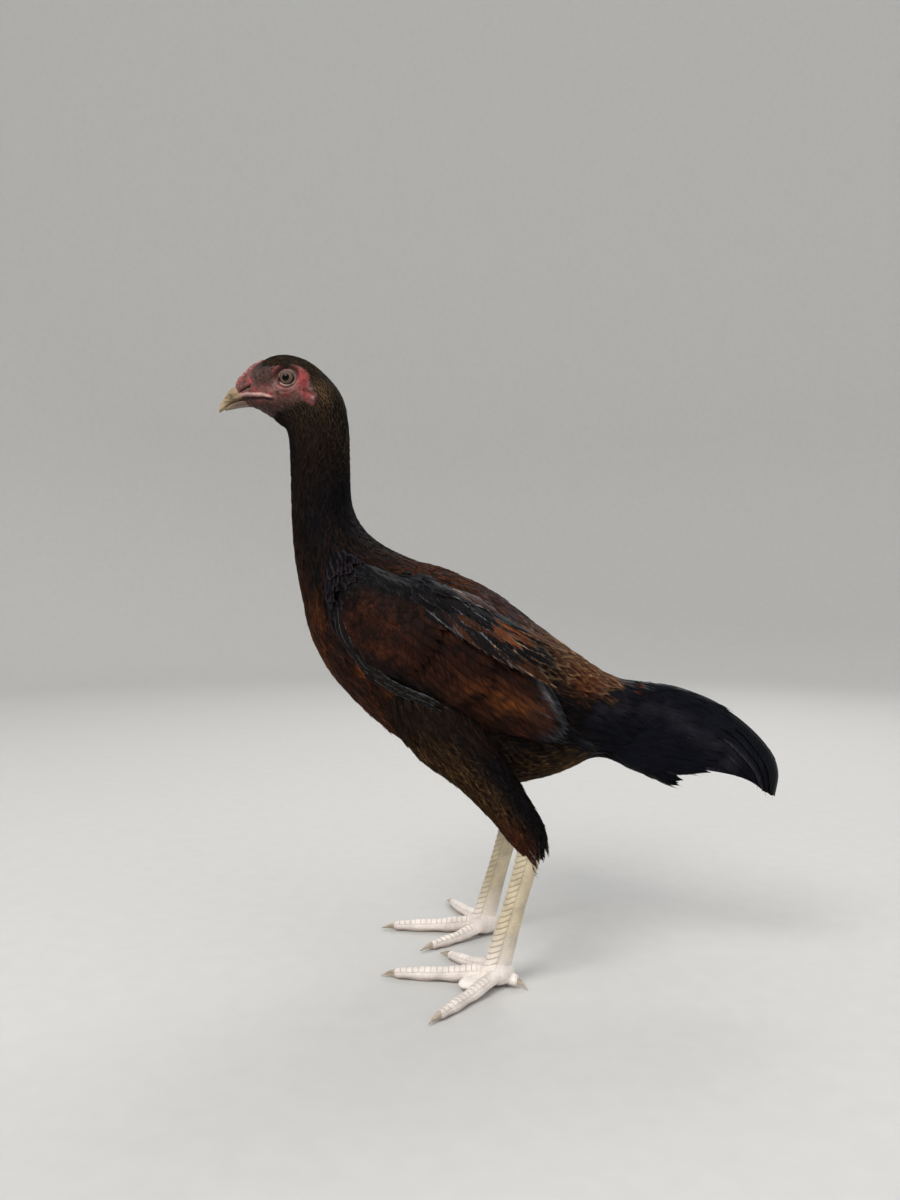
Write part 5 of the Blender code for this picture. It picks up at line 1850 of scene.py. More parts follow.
@dataclass
class Tail:
    """The low tail: paired quills in a tent, with coverts over and under their roots."""

    plumage: Plumage
    chance: Chance = field(default_factory=lambda: np.random.default_rng(SEED + 60))

    # Where each quill lies across the tent at its root, and how far along it ends; all drift down by
    # the droop.
    ROOTS = (0.09, 0.22, 0.35, 0.48, 0.61, 0.73, 0.84)
    TIPS = (0.995, 0.985, 0.96, 0.92, 0.86, 0.78, 0.69)
    DROOP = 0.25
    # Middle line (x, z) and half width of the soft cone under the tail's root, in mm.
    UNDER = ((64, 171, 15), (76, 166.5, 15), (88, 161, 13.5), (100, 153, 10.5), (109, 147, 7),
             (115, 143, 3.5))
    # Where the painted purple-grey highlight over the coverts runs (x, z), in mm.
    BAND = ((78, 182), (104, 185), (126, 179.5), (140, 169), (160, 157), (166, 148))
    SHEEN = (0.0030, 0.0034, 0.0064)

    def __post_init__(self) -> None:
        """Picks the tail's own form."""
        self.form = self.plumage.form
        self.surface = self.form.tail

    def quill(self, coat: Coat, side: Side, number: int) -> None:
        """Adds one tail quill, which follows the tent and drifts towards its lower edge.

        Args:
            coat: where to add it.
            side: its side of the tail.
            number: 0 for the uppermost.
        """
        root = self.ROOTS[number]
        vane = STEERING.variant(number % STEERING.variants)
        s, x, dome, _ = vane.points.T
        u = clamp(s) * self.TIPS[number]
        middle = root + self.DROOP * u * u
        top, low = (self.surface.read(u, np.full(len(u), around))[0] for around in (0.5, 1.0))
        depth = np.linalg.norm(top - low, axis=-1) / MM + 4
        crossing = number == 0 and side is Side.RIGHT
        v = clamp(middle + x * 11.5 / depth, -0.10 if crossing else 0.01, 1.0)
        points, normals = self.surface.read(u, 0.5 + side.value * v / 2)
        height = 0.6 + 0.8 * crossing - 0.16 * number + (v - middle) / 0.15 + dome * 4.8
        points = points + normals * height[:, None] * MM
        centre, edge = self.paint(points, self.SHEEN, PLUM if number % 3 == 2 else BLACK)
        coat.store(vane, self.surface.handed * side.value, points, np.array([0.02]),
                   np.array([0.5 + side.value * root / 2]), centre, edge)

    def paint(self, points: Array, centre: Array, edge: Array) -> tuple[Array, Array]:
        """The tail's colours, with a soft purple-grey highlight painted along a line over the coverts.

        Args:
            points: places on the tail.
            centre: the feathers' own centre colours.
            edge: the feathers' own edge colours.

        Returns:
            The centre and edge colours at the places.
        """
        x, _, z = in_mm(points)
        # Painted highlight: purple-grey centres and slate edges near the line, broken up in soft patches.
        highlight_share = hump(line_gap(x, z, self.BAND)[0], 6.5) * ease(mottle(points, 9, 61), -1.4, 0.2) * 0.5
        return mix(centre, PLUM, highlight_share), mix(edge, SLATE, highlight_share)

    def root_coverts(self) -> Feathers:
        """Soft black feathers on the rump's end, which run on over the root of the tail.

        Returns:
            The feathers.
        """
        found = self.plumage.body_field("vent", "tail_root", self.chance)
        points, _ = self.form.body.read(found.u, found.v)
        past = self.form.past_rump(points)
        picked = self.chance.uniform(0, 1, len(past)) < 0.6
        kept = found.keep((past > -14) & (points[:, 0] > 48 * MM) & picked)
        count = len(kept.u)
        kept.length = 30 * self.chance.uniform(0.85, 1.15, count)
        kept.width = 10 * self.chance.uniform(0.85, 1.15, count)
        kept.centre = self.plumage.markings.vary(self.SHEEN, 0.2, count, self.chance)
        kept.edge = np.tile(BLACK, (count, 1))
        kept.rise, kept.lift = 0.6, kept.lift + 0.5
        return kept

    def coverts(self, side: Side) -> Feathers:
        """Six rows of soft black feathers over the root of the tail.

        Args:
            side: which side of the bird.

        Returns:
            The feathers.
        """
        row, number = np.divmod(np.arange(60), 10)
        count = len(row)
        u = -0.10 + 0.05 * row + self.chance.uniform(-0.012, 0.012, count)
        v = (number + 0.5 * (row % 2) + 0.1) / 10
        edge = mix(BLACK, SLATE, self.chance.uniform(0, 1, count) ** 2 * 0.35)
        return Feathers(u=u, v=0.5 + side.value * v / 2, heading=side.value * 0.10 * v,
                        length=(30 + 5 * row) * self.chance.uniform(0.85, 1.15, count), width=13, sink=0.5,
                        lift=1.4,
                        centre=self.SHEEN, edge=edge, bow=side.value * 0.02,
                        tilt=self.chance.normal(0, 0.05, count), rise=0.5)

    def under_surface(self) -> Surface:
        """The cone under the tail's root that carries the under-tail coverts.

        Returns:
            The surface.
        """
        x, z, half = smooth_rows(self.UNDER, np.linspace(0, 1, 60)).T[..., None] * MM
        angle = np.linspace(0, TURN, 48, endpoint=False)
        return Surface(np.stack([x + 0.35 * half * np.cos(angle), half * np.sin(angle),
                                 z + 0.9 * half * np.cos(angle)], axis=-1), True)

    def under_coverts(self) -> Feathers:
        """Loose black and golden-edged feathers that taper off under the tail.

        Returns:
            The feathers.
        """
        count, chance = 330, self.chance
        u, v = chance.uniform(-0.05, 0.62, count), chance.uniform(0, 1, count)
        edge = mix(SOOT, OLIVE, chance.uniform(0, 1, count))
        return Feathers(u=u, v=v, heading=chance.normal(0, 0.15, count),
                        length=(16 - 11 * clamp(u)) * chance.uniform(0.8, 1.2, count), width=7 - 3 * clamp(u),
                        sink=1.2, lift=0.6, centre=BLACK, edge=edge, tilt=chance.normal(0, 0.1, count),
                        rise=0.7)

    def build(self) -> None:
        """The tail's feathers, and the coverts under them."""
        coat = Coat("tail_feathers")
        for side in Side:
            for number in range(len(self.ROOTS)):
                self.quill(coat, side, number)
            coat.add(self.surface, self.coverts(side), LANCE, paint=self.paint)
        coat.add(self.form.body, self.root_coverts(), LANCE, paint=self.paint)
        coat.build("tail_feathers", self.plumage.tail, ("tail",))
        under = Coat("under_tail_feathers")
        under.add(self.under_surface(), self.under_coverts(), FLUFF)
        under.build("tail_feathers", self.plumage.body)


# Skin, face and bare parts


@dataclass(frozen=True)
class Face:
    """The bare face: how its skin stands in and out, and how it is coloured; mm in the side view."""

    lip: tuple = ((-187, 408.8), (-178, 409.4), (-166, 408.2), (-160, 406.2), (-155.5, 404.2))
    red_patch: tuple = ((-134.0, 417.5), (4.5, 8.5))
    ear: tuple = ((-124.5, 410.8), (5.6, 6.8))
    rear_fold: float = -134.5

    @staticmethod
    def round_eye(x: Array, z: Array) -> tuple[Array, Array]:
        """Distance from the eye's middle in mm, and the height above it as a share of that."""
        r = np.hypot(x - EYE_CENTRE[0], z - EYE_CENTRE[2])
        return r, (z - EYE_CENTRE[2]) / np.maximum(r, 1)

    def relief(self, points: Array) -> Array:
        """How far the skin stands out of the head's plain form.

        Args:
            points: places on the plain form.

        Returns:
            One distance in mm for each point.
        """
        x, y, z = in_mm(points)
        r, over = self.round_eye(x, z)
        above, below = ease(over, -0.1, 0.6), ease(over, 0.1, -0.5)
        height = -1.9 * ease(r, 10.2, 7.2) - 4.5 * ease(r, 6.9, 5.6)
        height += above * (1.5 * hump(r - 10.4, 1.7) - 0.7 * hump(r - 8.3, 0.7))
        height += below * (0.7 * hump(r - 9.0, 0.9) - 0.5 * hump(r - 10.6, 0.6) + 0.5 * hump(r - 12.0, 0.9))
        behind = x - self.rear_fold
        height += 1.3 * hump(behind + 0.12 * (z - 416), 2.0) * hump(z - 416, 8.0)
        height -= 0.8 * hump(behind - 4.2, 1.2) * hump(z - 415, 8.0)
        height += 1.9 * hump(oval(x, z, *self.ear)) + 0.8 * hump(oval(x, z, (-150, 408.5), (9, 3.2)))
        mouth, mouth_share = line_gap(x, z, MOUTH_LINE)
        lip, lip_share = line_gap(x, z, self.lip)
        height += 0.9 * hump(lip, 1.05) * ease(lip_share, 1.0, 0.8)
        height -= 1.3 * hump(mouth, 0.75) * ease(mouth_share, 1.0, 0.85)
        height += 0.8 * hump(line_gap(x, z - 2, NOSTRIL_LINE)[0], 1.1)
        height -= 1.5 * hump(line_gap(x, z, NOSTRIL_LINE)[0], 0.8)
        wrinkles = np.sin((z + 0.35 * (x + 150)) * 1.5 + 1.2 * mottle(points, 6, 43))
        height += 0.28 * wrinkles * ease(z, 403, 406) * ease(z, 415, 411) * ease(x, -172, -160)
        folds = np.sin((x * 0.55 + z * 1.25) * 1.35 + 0.7 * mottle(points, 5, 31))
        height += 0.35 * folds * ease(z, 403, 397) * ease(x, -176, -170) * ease(x, -140, -150)
        rough = 0.16 * mottle(points, 2.4, 32) + 0.10 * mottle(points, 1.2, 33)
        height = height * ease(np.abs(y), 5, 9) + rough * bareness(points)
        return height * ease(x, -112, -118) * ease(z, 380, 388)

    def tint(self, points: Array) -> Array:
        """The bare skin's colours, with painted shade in the fold over the eye, on the sunken skin round the
        eyeball, in the mouth's slit and in the nostril.

        Args:
            points: places on the head.

        Returns:
            One colour for each point.
        """
        x, _, z = in_mm(points)
        r, over = self.round_eye(x, z)
        above = ease(over, -0.1, 0.6)
        lip, lip_share = line_gap(x, z, self.lip)
        return washes(
            FACE_PINK, (FACE_RED, ease(mottle(points, 5, 34), 0.0, 1.2) * 0.7),
            (FACE_DARK, ease(mottle(points, 3, 35), 0.5, 1.4) * 0.5),
            (LORES, ease(oval(x, z, (-163, 423.5), (10.5, 10)), 1.3, 0.7) * 0.95),
            (LORES, ease(z, 424, 429) * ease(x, -178, -170) * 0.8),
            (LORES, ease(z + 0.10 * (x + 150), 405.5, 401.5) * 0.75),
            (LORES, 0.75 * hump(oval(x, z, *CHEEK_DOWN))), (FACE_RED, hump(oval(x, z, *self.red_patch))),
            (LIP_PALE, 0.2 * hump(r - 9.0, 1.2) * ease(z - EYE_CENTRE[2], 0, -5)),
            # Painted shade in the fold over the eye; beyond it the skin's own red.
            (LID_FOLD_SHADE, 0.95 * hump(r - 8.2, 1.1) * above), (FACE_RED, 0.5 * hump(r - 10.8) * above),
            # Painted shade on the sunken skin round the eyeball; then the lip's own pale colour.
            (FACE_DARK, 0.7 * ease(r, 7.6, 6.8)), (LIP_PALE, ease(lip, 1.6, 0.6) * ease(lip_share, 1.0, 0.7)),
            (THROAT, ease(z + 0.12 * (x + 160), 403.5, 399.5) * ease(x, -180, -172)),
            # Painted shade in the mouth's slit and in the nostril.
            (MOUTH_SLIT_SHADE, ease(line_gap(x, z, MOUTH_LINE)[0], 1.5, 0.6)),
            (BLACK, hump(line_gap(x, z, NOSTRIL_LINE)[0], 0.8)))


@dataclass(frozen=True)
class Skin:
    """The one skin under the coat, with the bare face, both thighs, the wings' arms and the tail's stump."""

    form: Form
    face: Face
    markings: Markings
    rows: int = 300
    columns: int = 200

    # Depth of the skin inside the solids, by station, and inside the thighs, in mm.
    INSET = {"bill_root": 0.0, "eye": 0.3, "nape": 0.9, "neck_low": 1.5, "crop": 2.1, "loin": 2.4,
             "tail_root": 2.4}
    THIGH_INSET = 1.8
    # Middle line (x, z), half width and half height of the tail's fleshy root, in mm.
    STUMP = ((70, 176, 20, 26), (95, 172, 15, 22), (115, 168, 13, 19), (135, 163, 12, 15), (152, 157, 10, 11),
             (165, 151, 6, 7), (170, 148, 1.5, 2))
    # Points whose nearest place on the body is looked up at a time.
    BATCH = 2000

    def body_place(self, along: Array, around: Array) -> Array:
        """Points of the body's skin.

        Args:
            along: shares along it.
            around: shares of the way round it.

        Returns:
            The points.
        """
        u = along * (0.6 + 0.4 * along)
        points, normals = self.form.body.read(u, around)
        depth = by_station(self.INSET, u) * (1 - bareness(points))
        return points + normals * (self.face.relief(points) - depth)[:, None] * MM

    def thigh_place(self, side: Side, along: Array, around: Array) -> Array:
        """Points inside one thigh's coat."""
        points, normals = self.form.thighs[side].read(along, around)
        return points - normals * self.THIGH_INSET * MM

    def arm_place(self, side: Side, along: Array, around: Array) -> Array:
        """Points of the feathered arm under one wing's coat, as the solid has it but deeper.

        Args:
            side: the wing's side.
            along: shares from the shoulder to the wing's tip.
            around: shares over its outer face, and back along its inner one.

        Returns:
            The points.
        """
        outline = np.array(self.form.WING_OUTLINE, float)[:, 0]
        a = np.interp(along, np.linspace(0, 1, len(outline)), outline)
        low, high = self.form.wing_edges(a)
        turn = around * 2
        across = np.where(turn <= 1, turn, 2 - turn)
        u, v = self.form.wing_shares(a, low + 2 + (high - low - 4) * across)
        points, normals = self.form.wings[side].read(u, v)
        depth = np.maximum(0, a - 30) * 0.075 + 6 * (across * 2 - 1) ** 6 + 1.6 - self.form.tuck(points)
        outer = points - normals * (depth + 5 * ease(a, 25, 0))[:, None] * MM
        inner = outer * (1, 0, 1) + ACROSS * side.value * 20 * MM
        blend = clamp(np.minimum((turn - 1) / 0.1, (2 - turn) / 0.1))[:, None]
        return outer * (1 - blend) + inner * blend

    def stump_place(self, along: Array, around: Array) -> Array:
        """Points of the tail's fleshy root, which ends inside the tent of quills."""
        x, z, wide, tall = smooth_rows(self.STUMP, along).T * MM
        return hoop(np.stack([x, 0 * x, z], axis=-1), UP, tall, ACROSS, wide, around)

    def build(self, material: Material) -> None:
        """The skin as one piece.

        Args:
            material: its finish.
        """
        skin = shaped_grid("pullet_skin", self.columns, self.rows, self.body_place)
        others = [shaped_grid("stump_skin", 32, 30, self.stump_place)]
        for side in Side:
            others += [shaped_grid("thigh_skin", 40, 60, partial(self.thigh_place, side)),
                       shaped_grid("arm_skin", 56, 44, partial(self.arm_place, side))]
        for other in others:
            union = skin.modifiers.new("grow", "BOOLEAN")
            union.operation, union.solver, union.object = "UNION", "MANIFOLD", other
            bake(skin)
        drop(others)
        set_colour(skin, "tint", self.tint(vertex_array(skin)))
        settle(skin, "face_skin", material, ("torso", "neck", "head", "thigh_left", "thigh_right"))

    def tint(self, points: Array) -> Array:
        """Colours of the skin: the plumage's own, darkened as painted shade, where feathers grow, the face's
        where it is bare.

        Args:
            points: places on it.

        Returns:
            One colour for each point.
        """
        grid = self.form.body.points[::4, ::4]
        rows, columns = grid.shape[:2]
        flat = grid.reshape(-1, 3)
        best = np.concatenate([((flat**2).sum(1) - 2 * points[start:start + self.BATCH] @ flat.T).argmin(axis=1)
                               for start in range(0, len(points), self.BATCH)])
        centre, _ = self.markings.body((best // columns) / (rows - 1), (best % columns) / columns, points)
        x, _, z = in_mm(points)
        bare = bareness(points) * ease(x, -105, -112) * ease(z, 370, 378)
        # Painted shade: the plumage's colour at 0.7 under the coat.
        return mix(centre * 0.7, self.face.tint(points), bare)


@dataclass(frozen=True)
class Eyes:
    """Both eyes with their lids."""

    # Angle from the gaze at which the eye's colours end.
    rim: float = math.radians(64)

    def eyeball(self, side: Side) -> Object:
        """One eyeball with a bulging cornea, which knows how far each point lies from its gaze.

        Args:
            side: which side of the bird.

        Returns:
            The eyeball.
        """
        centre = EYE_CENTRE * (1, side.value, 1)
        gaze = unit(np.array((-0.07, side.value, 0.02)))
        obj = ball(f"eyeball_{side.word}", centre, (EYE_RADIUS,) * 3, segments=56, rings=40)
        points = vertex_array(obj) - centre * MM
        angle = np.arccos(clamp(unit(points) @ gaze, -1, 1))
        bulge = 0.55 * ease(angle, math.radians(50), math.radians(10))
        set_points(obj, centre * MM + points * (1 + bulge / EYE_RADIUS)[:, None])
        set_value(obj, "from_gaze", clamp(angle / self.rim))
        return obj

    @staticmethod
    def lid_place(side: Side, along: Array, around: Array) -> Array:
        """Points of the rim of both lids: a soft ring that lies on the eyeball, fuller above.

        Args:
            side: the eye's side.
            along: shares of the way round the eye.
            around: shares of the way round the ring's own section.

        Returns:
            The points.
        """
        turn, angle = along * TURN, around * TURN
        cos, up = np.cos(turn), np.sin(turn)
        wide = np.where(up > 0, 6.1, 6.3) + 0.25 * np.cos(turn * 2) + 0.7 * clamp(-cos) ** 6
        reach = np.hypot(wide * cos, np.where(up > 0, 5.5, 5.8) * up) - 0.3
        thick = 0.85 + 0.35 * ease(up, -0.2, 0.7) + 0.08 * np.sin(turn * 23) * np.sin(turn * 7)
        out = np.sqrt(np.maximum(7.6**2 - reach**2, 1.0)) + thick * 0.8 * np.sin(angle)
        rim = reach + thick * np.cos(angle)
        return (EYE_CENTRE + np.stack([rim * cos, out, rim * up], axis=-1)) * (1, side.value, 1) * MM

    def lid(self, side: Side) -> Object:
        """The lids of one eye.

        Args:
            side: which side of the bird.

        Returns:
            The lids.
        """
        obj = shaped_grid(f"eyelid_{side.word}", 14, 96, partial(self.lid_place, side))
        points = vertex_array(obj)
        up = ease(points[:, 2] / MM, EYE_CENTRE[2] - 1, EYE_CENTRE[2] + 4)
        set_colour(obj, "tint", washes(LID_PALE, (FACE_DARK, up * 0.45),
                                       (FACE_DARK, ease(mottle(points, 1.6, 36), 0.5, 1.2) * 0.4)))
        return obj

    def build(self, eye: Material, skin: Material) -> None:
        """Both eyes on the bird.

        Args:
            eye: the eyeballs' finish.
            skin: the lids' finish.
        """
        for side in Side:
            settle(self.eyeball(side), "eye", eye, (f"eye_{side.word}",))
            settle(self.lid(side), "face_skin", skin)


@dataclass(frozen=True)
class Comb:
    """The low pea comb: rows of small knobs from the bill's root over the forehead."""

    form: Form
    first: float = 1 - 20.88 / LAST_STATION
    last: float = 1 - 19.4 / LAST_STATION
    # Offset sideways in mm, number of knobs, half size in mm, where the row starts.
    rows: tuple = ((0.0, 12, 2.1, 0.0), (-2.8, 9, 1.6, 0.10), (2.8, 9, 1.6, 0.10), (-5.0, 6, 1.1, 0.25),
                   (5.0, 6, 1.1, 0.25))

    def knobs(self) -> list[Object]:
        """The knobs, one by one.

        Returns:
            The knobs.
        """
        chance = np.random.default_rng(SEED + 70)
        made = []
        for offset, count, size, start in self.rows:
            for k in range(count):
                share = start + (1 - start) * (k + chance.uniform(-0.25, 0.25)) / (count - 1)
                u = np.array([self.first + (self.last - self.first) * (1 - clamp(share))])
                v = offset * MM / self.form.body.scale(u, np.zeros(1))[1]
                point, normal = self.form.body.read(u, v)
                full = size * (0.72 + 0.34 * math.sin(math.pi * (k + 0.8) / count)) * chance.uniform(0.85,
                                                                                                     1.12)
                made.append(ball("knob", point[0] / MM - normal[0] * full * 0.05,
                                 full * np.array((1.35, 0.95, 1.05)),
                                 (0, chance.uniform(-30, 30), chance.uniform(-20, 20)), 14, 10))
        return made

    def build(self, material: Material) -> None:
        """The comb as one piece.

        Args:
            material: its finish.
        """
        comb = melt("comb_skin", self.knobs(), 0.34, 5)
        points = vertex_array(comb)
        set_colour(comb, "tint", washes(
            COMB_PINK, (COMB_RED, ease(mottle(points, 4, 37), 0, 1)),
            (LIP_PALE, 0.35 * ease(mottle(points, 2.2, 38), 0.4, 1.2)),
            (FACE_DARK, 0.5 * ease(mottle(points, 3.1, 41), 0.5, 1.3)),
            (LORES, 0.8 * ease(points[:, 0] / MM, -171, -165))))
        settle(comb, "face_skin", material, ("comb",))


@dataclass(frozen=True)
class Earlobes:
    """The small red lobes under the feathered ears, each with a cup and a painted pale highlight above it."""

    # From the ear's middle to the lobe's, and from there to its fuller upper part, in mm.
    below: tuple = (-2.2, -0.2, -8.8)
    above: tuple = (1.0, -1.0, 2.6)

    def build(self, material: Material) -> None:
        """Both lobes on the bird.

        Args:
            material: its finish.
        """
        for side in Side:
            outwards = (1, side.value, 1)
            at = (EAR_CENTRE + self.below) * outwards
            parts = [ball("lobe", at, (3.2, 2.3, 4.9), (0, 14, 0), 24, 18),
                     ball("lobe", at + np.multiply(self.above, outwards), (2.4, 1.9, 2.8), (0, 0, 0), 20, 14)]
            lobe = melt(f"earlobe_{side.word}", parts, 0.3, 3)
            points = vertex_array(lobe)
            x, y, z = in_mm(points - at * MM)
            outer = ease(y * side.value, 0, 1.5)
            dip = hump(oval(x, z, (-0.4, -0.6), (1, 1.25)), 1.5)
            points[:, 1] -= side.value * 0.9 * MM * dip * outer
            points += (0.05 * MM * mottle(points, 1.2, 39))[:, None] * (0.3, 1.0, 0.3)
            set_points(lobe, points)
            # The pale spot on the lobe's outer face is a painted highlight.
            set_colour(lobe, "tint", washes(LOBE_RED,
                                            (FACE_DARK, ease(mottle(points, 2.5, 40), 0.0, 1.2) * 0.8),
                                            (LIP_PALE, 0.6 * hump(np.hypot(x - 0.6, z - 1.6), 1.3) * outer)))
            settle(lobe, "face_skin", material, (f"ear_{side.word}",))


@dataclass(frozen=True)
class Bill:
    """The short, stout, hooked bill in two halves; tables of (top x, z, low x, z, half width) in mm."""

    upper: tuple = ((-187.6, 417.6, -180.4, 406.9, 7.0), (-192.4, 415.0, -187.0, 405.6, 6.0),
                    (-195.4, 411.8, -191.0, 404.4, 4.9), (-198.4, 408.0, -194.6, 402.8, 3.9),
                    (-200.8, 404.0, -197.6, 400.9, 2.9), (-202.1, 400.8, -199.9, 399.0, 1.8),
                    (-202.2, 398.4, -201.4, 397.8, 0.7))
    lower: tuple = ((-180.3, 406.0, -178.3, 402.0, 5.9), (-187.0, 405.1, -185.2, 401.4, 5.0),
                    (-191.0, 403.9, -189.6, 400.6, 3.9), (-194.6, 402.3, -193.8, 399.8, 2.7),
                    (-197.4, 400.5, -197.2, 399.3, 1.3))

    @staticmethod
    def place(rows: tuple, widest: float, along: Array, around: Array) -> Array:
        """Points of one half, whose rings are widest near its cutting edge.

        Args:
            rows: its table.
            widest: share of its height, from the low line, at which it is widest.
            along: shares from its root to its tip.
            around: shares of the way round it.

        Returns:
            The points.
        """
        top_x, top_z, low_x, low_z, half = smooth_rows(rows, along).T
        c, s = np.cos(around * TURN), np.sin(around * TURN)
        share = widest + np.where(c > 0, 1 - widest, -widest) * np.abs(c) ** 0.9
        return np.stack([low_x + (top_x - low_x) * share, np.sign(s) * np.abs(s) ** 0.8 * half,
                         low_z + (top_z - low_z) * share], axis=-1) * MM

    def build(self, material: Material, low_material: Material) -> None:
        """Both halves on the bird.

        Args:
            material: its finish.
            low_material: the lower half's finish.
        """
        upper = shaped_grid("bill_upper_horn", 64, 80, partial(self.place, self.upper, 0.22))
        points = vertex_array(upper)
        x, y, z = in_mm(points)
        groove = hump(z - (405.9 + 0.62 * (x + 192)), 0.5) * ease(np.abs(y), 1.5, 3)
        points[:, 1] *= 1 - 0.05 * groove
        set_points(upper, points)
        settle(upper, "horn", material, ("bill_upper",))
        lower = shaped_grid("bill_lower_horn", 64, 80, partial(self.place, self.lower, 0.78))
        settle(lower, "horn", low_material, ("bill_lower",))


@dataclass(frozen=True)
class Toe:
    """One front toe: its turn on the left and the right foot in degrees, and its sizes in mm."""

    name: str
    turn: tuple
    reach: float
    beside: float
    thick: float
    scutes: int

    def rise(self, t: Array) -> Array:
        """Height of its middle at shares along it."""
        return self.thick / 2 * (1 - 0.36 * t) * 0.94 + (9 - self.thick / 2) * (1 - t) ** 3


@dataclass
class Leg:
    """One bare leg from the hock down: scuted shank, padded foot, four toes and their claws; all in mm."""

    side: Side
    toes: tuple = (Toe("middle", (-1.5, -1.5), 70, 0.0, 11.2, 17),
                   Toe("inner", (-41, -41), 48, -6.5, 9.6, 12),
                   Toe("outer", (57, 59), 60, 6.0, 9.8, 15))
    shank_scutes: int = 21
    hind_turn: float = math.radians(24)
    # Middle angle, half angle and offset along of the shank's two rows of scutes.
    scute_rows: tuple = ((0.62, 0.84, 0.0), (-0.72, 0.5, 0.5))
    # Where the toes' forms begin, from the foot's middle.
    TOE_START = 3

    def __post_init__(self) -> None:
        """Works out where the hock, the foot and the toes lie."""
        sign = self.side.value
        stagger, y = -sign * FOOT_STAGGER / 2, sign * FOOT_SPREAD / 2
        self.hock = np.array((24.4 + stagger, y, HOCK_HEIGHT + 5))
        self.foot = np.array((stagger, y, 11.0))
        self.back = np.array((math.cos(self.hind_turn), sign * math.sin(self.hind_turn), 0))
        self.hind_end = np.array((stagger, y, 5.2))
        self.paths = {}
        for toe in self.toes:
            turn = math.radians(toe.turn[self.side is Side.RIGHT])
            self.paths[toe] = (np.array((stagger, y + sign * toe.beside, 0)),
                               np.array((-math.cos(turn), sign * math.sin(turn), 0)))

    def shank_place(self, along: Array, around: Array) -> Array:
        """Points of the shank's plain form; around starts at its front.

        Args:
            along: shares along it.
            around: shares of the way round it.

        Returns:
            The points.
        """
        axis = self.foot - self.hock
        waist = 1 - 0.16 * np.sin(math.pi * np.minimum(1, 1.15 * along))
        return hoop(self.hock + axis * along[:, None], unit(np.cross(ACROSS, axis)), 8.6 * waist, ACROSS,
                    7.4 * waist, around) * MM

    def toe_place(self, toe: Toe, t: Array, around: Array) -> Array:
        """Points of one front toe's plain form; around starts at its top.

        Args:
            toe: the toe.
            t: shares along it.
            around: shares round it.

        Returns:
            The points.
        """
        root, ahead = self.paths[toe]
        half = toe.thick / 2 * (1 - 0.36 * t - 0.05 * np.sin(5 * math.pi * t))
        half = half * np.sqrt(clamp((1.02 - t) / 0.06))
        pad = 1 + 0.10 * np.sin(6 * math.pi * t + 0.6) * (np.cos(around * TURN) < -0.2)
        reach = self.TOE_START + (toe.reach - self.TOE_START) * t
        return hoop(root + ahead * reach[:, None] + UP * toe.rise(t)[:, None], UP, half * pad,
                    np.cross(UP, ahead),
                    half, around) * MM

    def hind_place(self, along: Array, around: Array) -> Array:
        """Points of the hind toe.

        Args:
            along: shares along it.
            around: shares of the way round it.

        Returns:
            The points.
        """
        start, end = self.foot + (4, 0, -5), self.hind_end + self.back * 16
        half = (4.8 - 1.2 * along) * np.sqrt(clamp((1.03 - along) / 0.15))
        return hoop(start + (end - start) * along[:, None], UP, half, np.cross(UP, self.back), half,
                    around) * MM

    def flesh(self) -> Object:
        """Shank, pads and toes melted into one form.

        Returns:
            The leg's skin.
        """
        (x, y, _), sign = self.foot, self.side.value
        parts = [shaped_grid("shank", 32, 30, self.shank_place), ball("pad", (x, y, 9.0), (12, 11.5, 9)),
                 ball("web", (x - 12, y + sign * 8, 4.2), (14, 9, 4), (0, 0, sign * -28))]
        parts += [shaped_grid("toe", 24, 40, partial(self.toe_place, toe)) for toe in self.toes]
        parts.append(shaped_grid("toe", 20, 16, self.hind_place))
        leg = melt(f"leg_skin_{self.side.word}", parts, 0.46, 3)
        points = vertex_array(leg)
        points[:, 2] = np.maximum(points[:, 2], 0.15 * MM)
        set_points(leg, points)
        return leg

    @staticmethod
    def scute(along: Array, around: Array, half_angle: float) -> tuple[Array, Array]:
        """Height and groove of overlapping plates.

        Args:
            along: counts plates along the limb.
            around: angle from the plates' middle, in radians.
            half_angle: half the angle that the plates cover.

        Returns:
            The height, and the groove's depth from 0 to 1.
        """
        rest, off = along - np.floor(along), np.abs(around)
        cover = ease(off, half_angle, half_angle * 0.86)
        groove = np.maximum(hump(rest - 1, 0.05), hump(rest, 0.07))
        return (0.55 * ease(rest, 0.0, 0.8) * ease(rest, 1.0, 0.93) * cover,
                np.maximum(groove * cover, 0.45 * hump(off - half_angle, 0.06)))

    def shank_relief(self, rows: Array) -> tuple[Array, Array]:
        """Height and groove of the shank's scutes in front and of the small scales behind.

        Args:
            rows: places on the leg.

        Returns:
            The heights, and the grooves' depths from 0 to 1.
        """
        height, groove = np.zeros(len(rows)), np.zeros(len(rows))
        axis = self.foot - self.hock
        along = clamp(((rows - self.hock) @ axis) / (axis @ axis), 0, 1.2)
        offset = rows - (self.hock + axis * along[:, None])
        angle = np.arctan2(offset[:, 1] * self.side.value, offset @ unit(np.cross(ACROSS, axis)))
        on_shank = ease(rows[:, 2], 11, 17) * (np.linalg.norm(offset, axis=1) < 14)
        bent = (along - 0.05 * np.cos(angle * 1.4)) * self.shank_scutes
        for middle, half_angle, shift in self.scute_rows:
            lip, gap = self.scute(bent + shift, angle - middle, half_angle)
            height += lip * on_shank
            groove = np.maximum(groove, gap * on_shank * (np.abs(angle - middle) < half_angle * 1.1))
        back = ease(np.abs(angle - 0.15), 1.25, 1.4) * on_shank
        column = np.floor(angle * 14 / math.pi) % 2
        cells = np.cos(angle * 14) * np.cos(along * 44 * math.pi + math.pi * column)
        return height + 0.045 * cells * back, np.maximum(groove, 0.14 * ease(cells, 0.0, -0.9) * back)

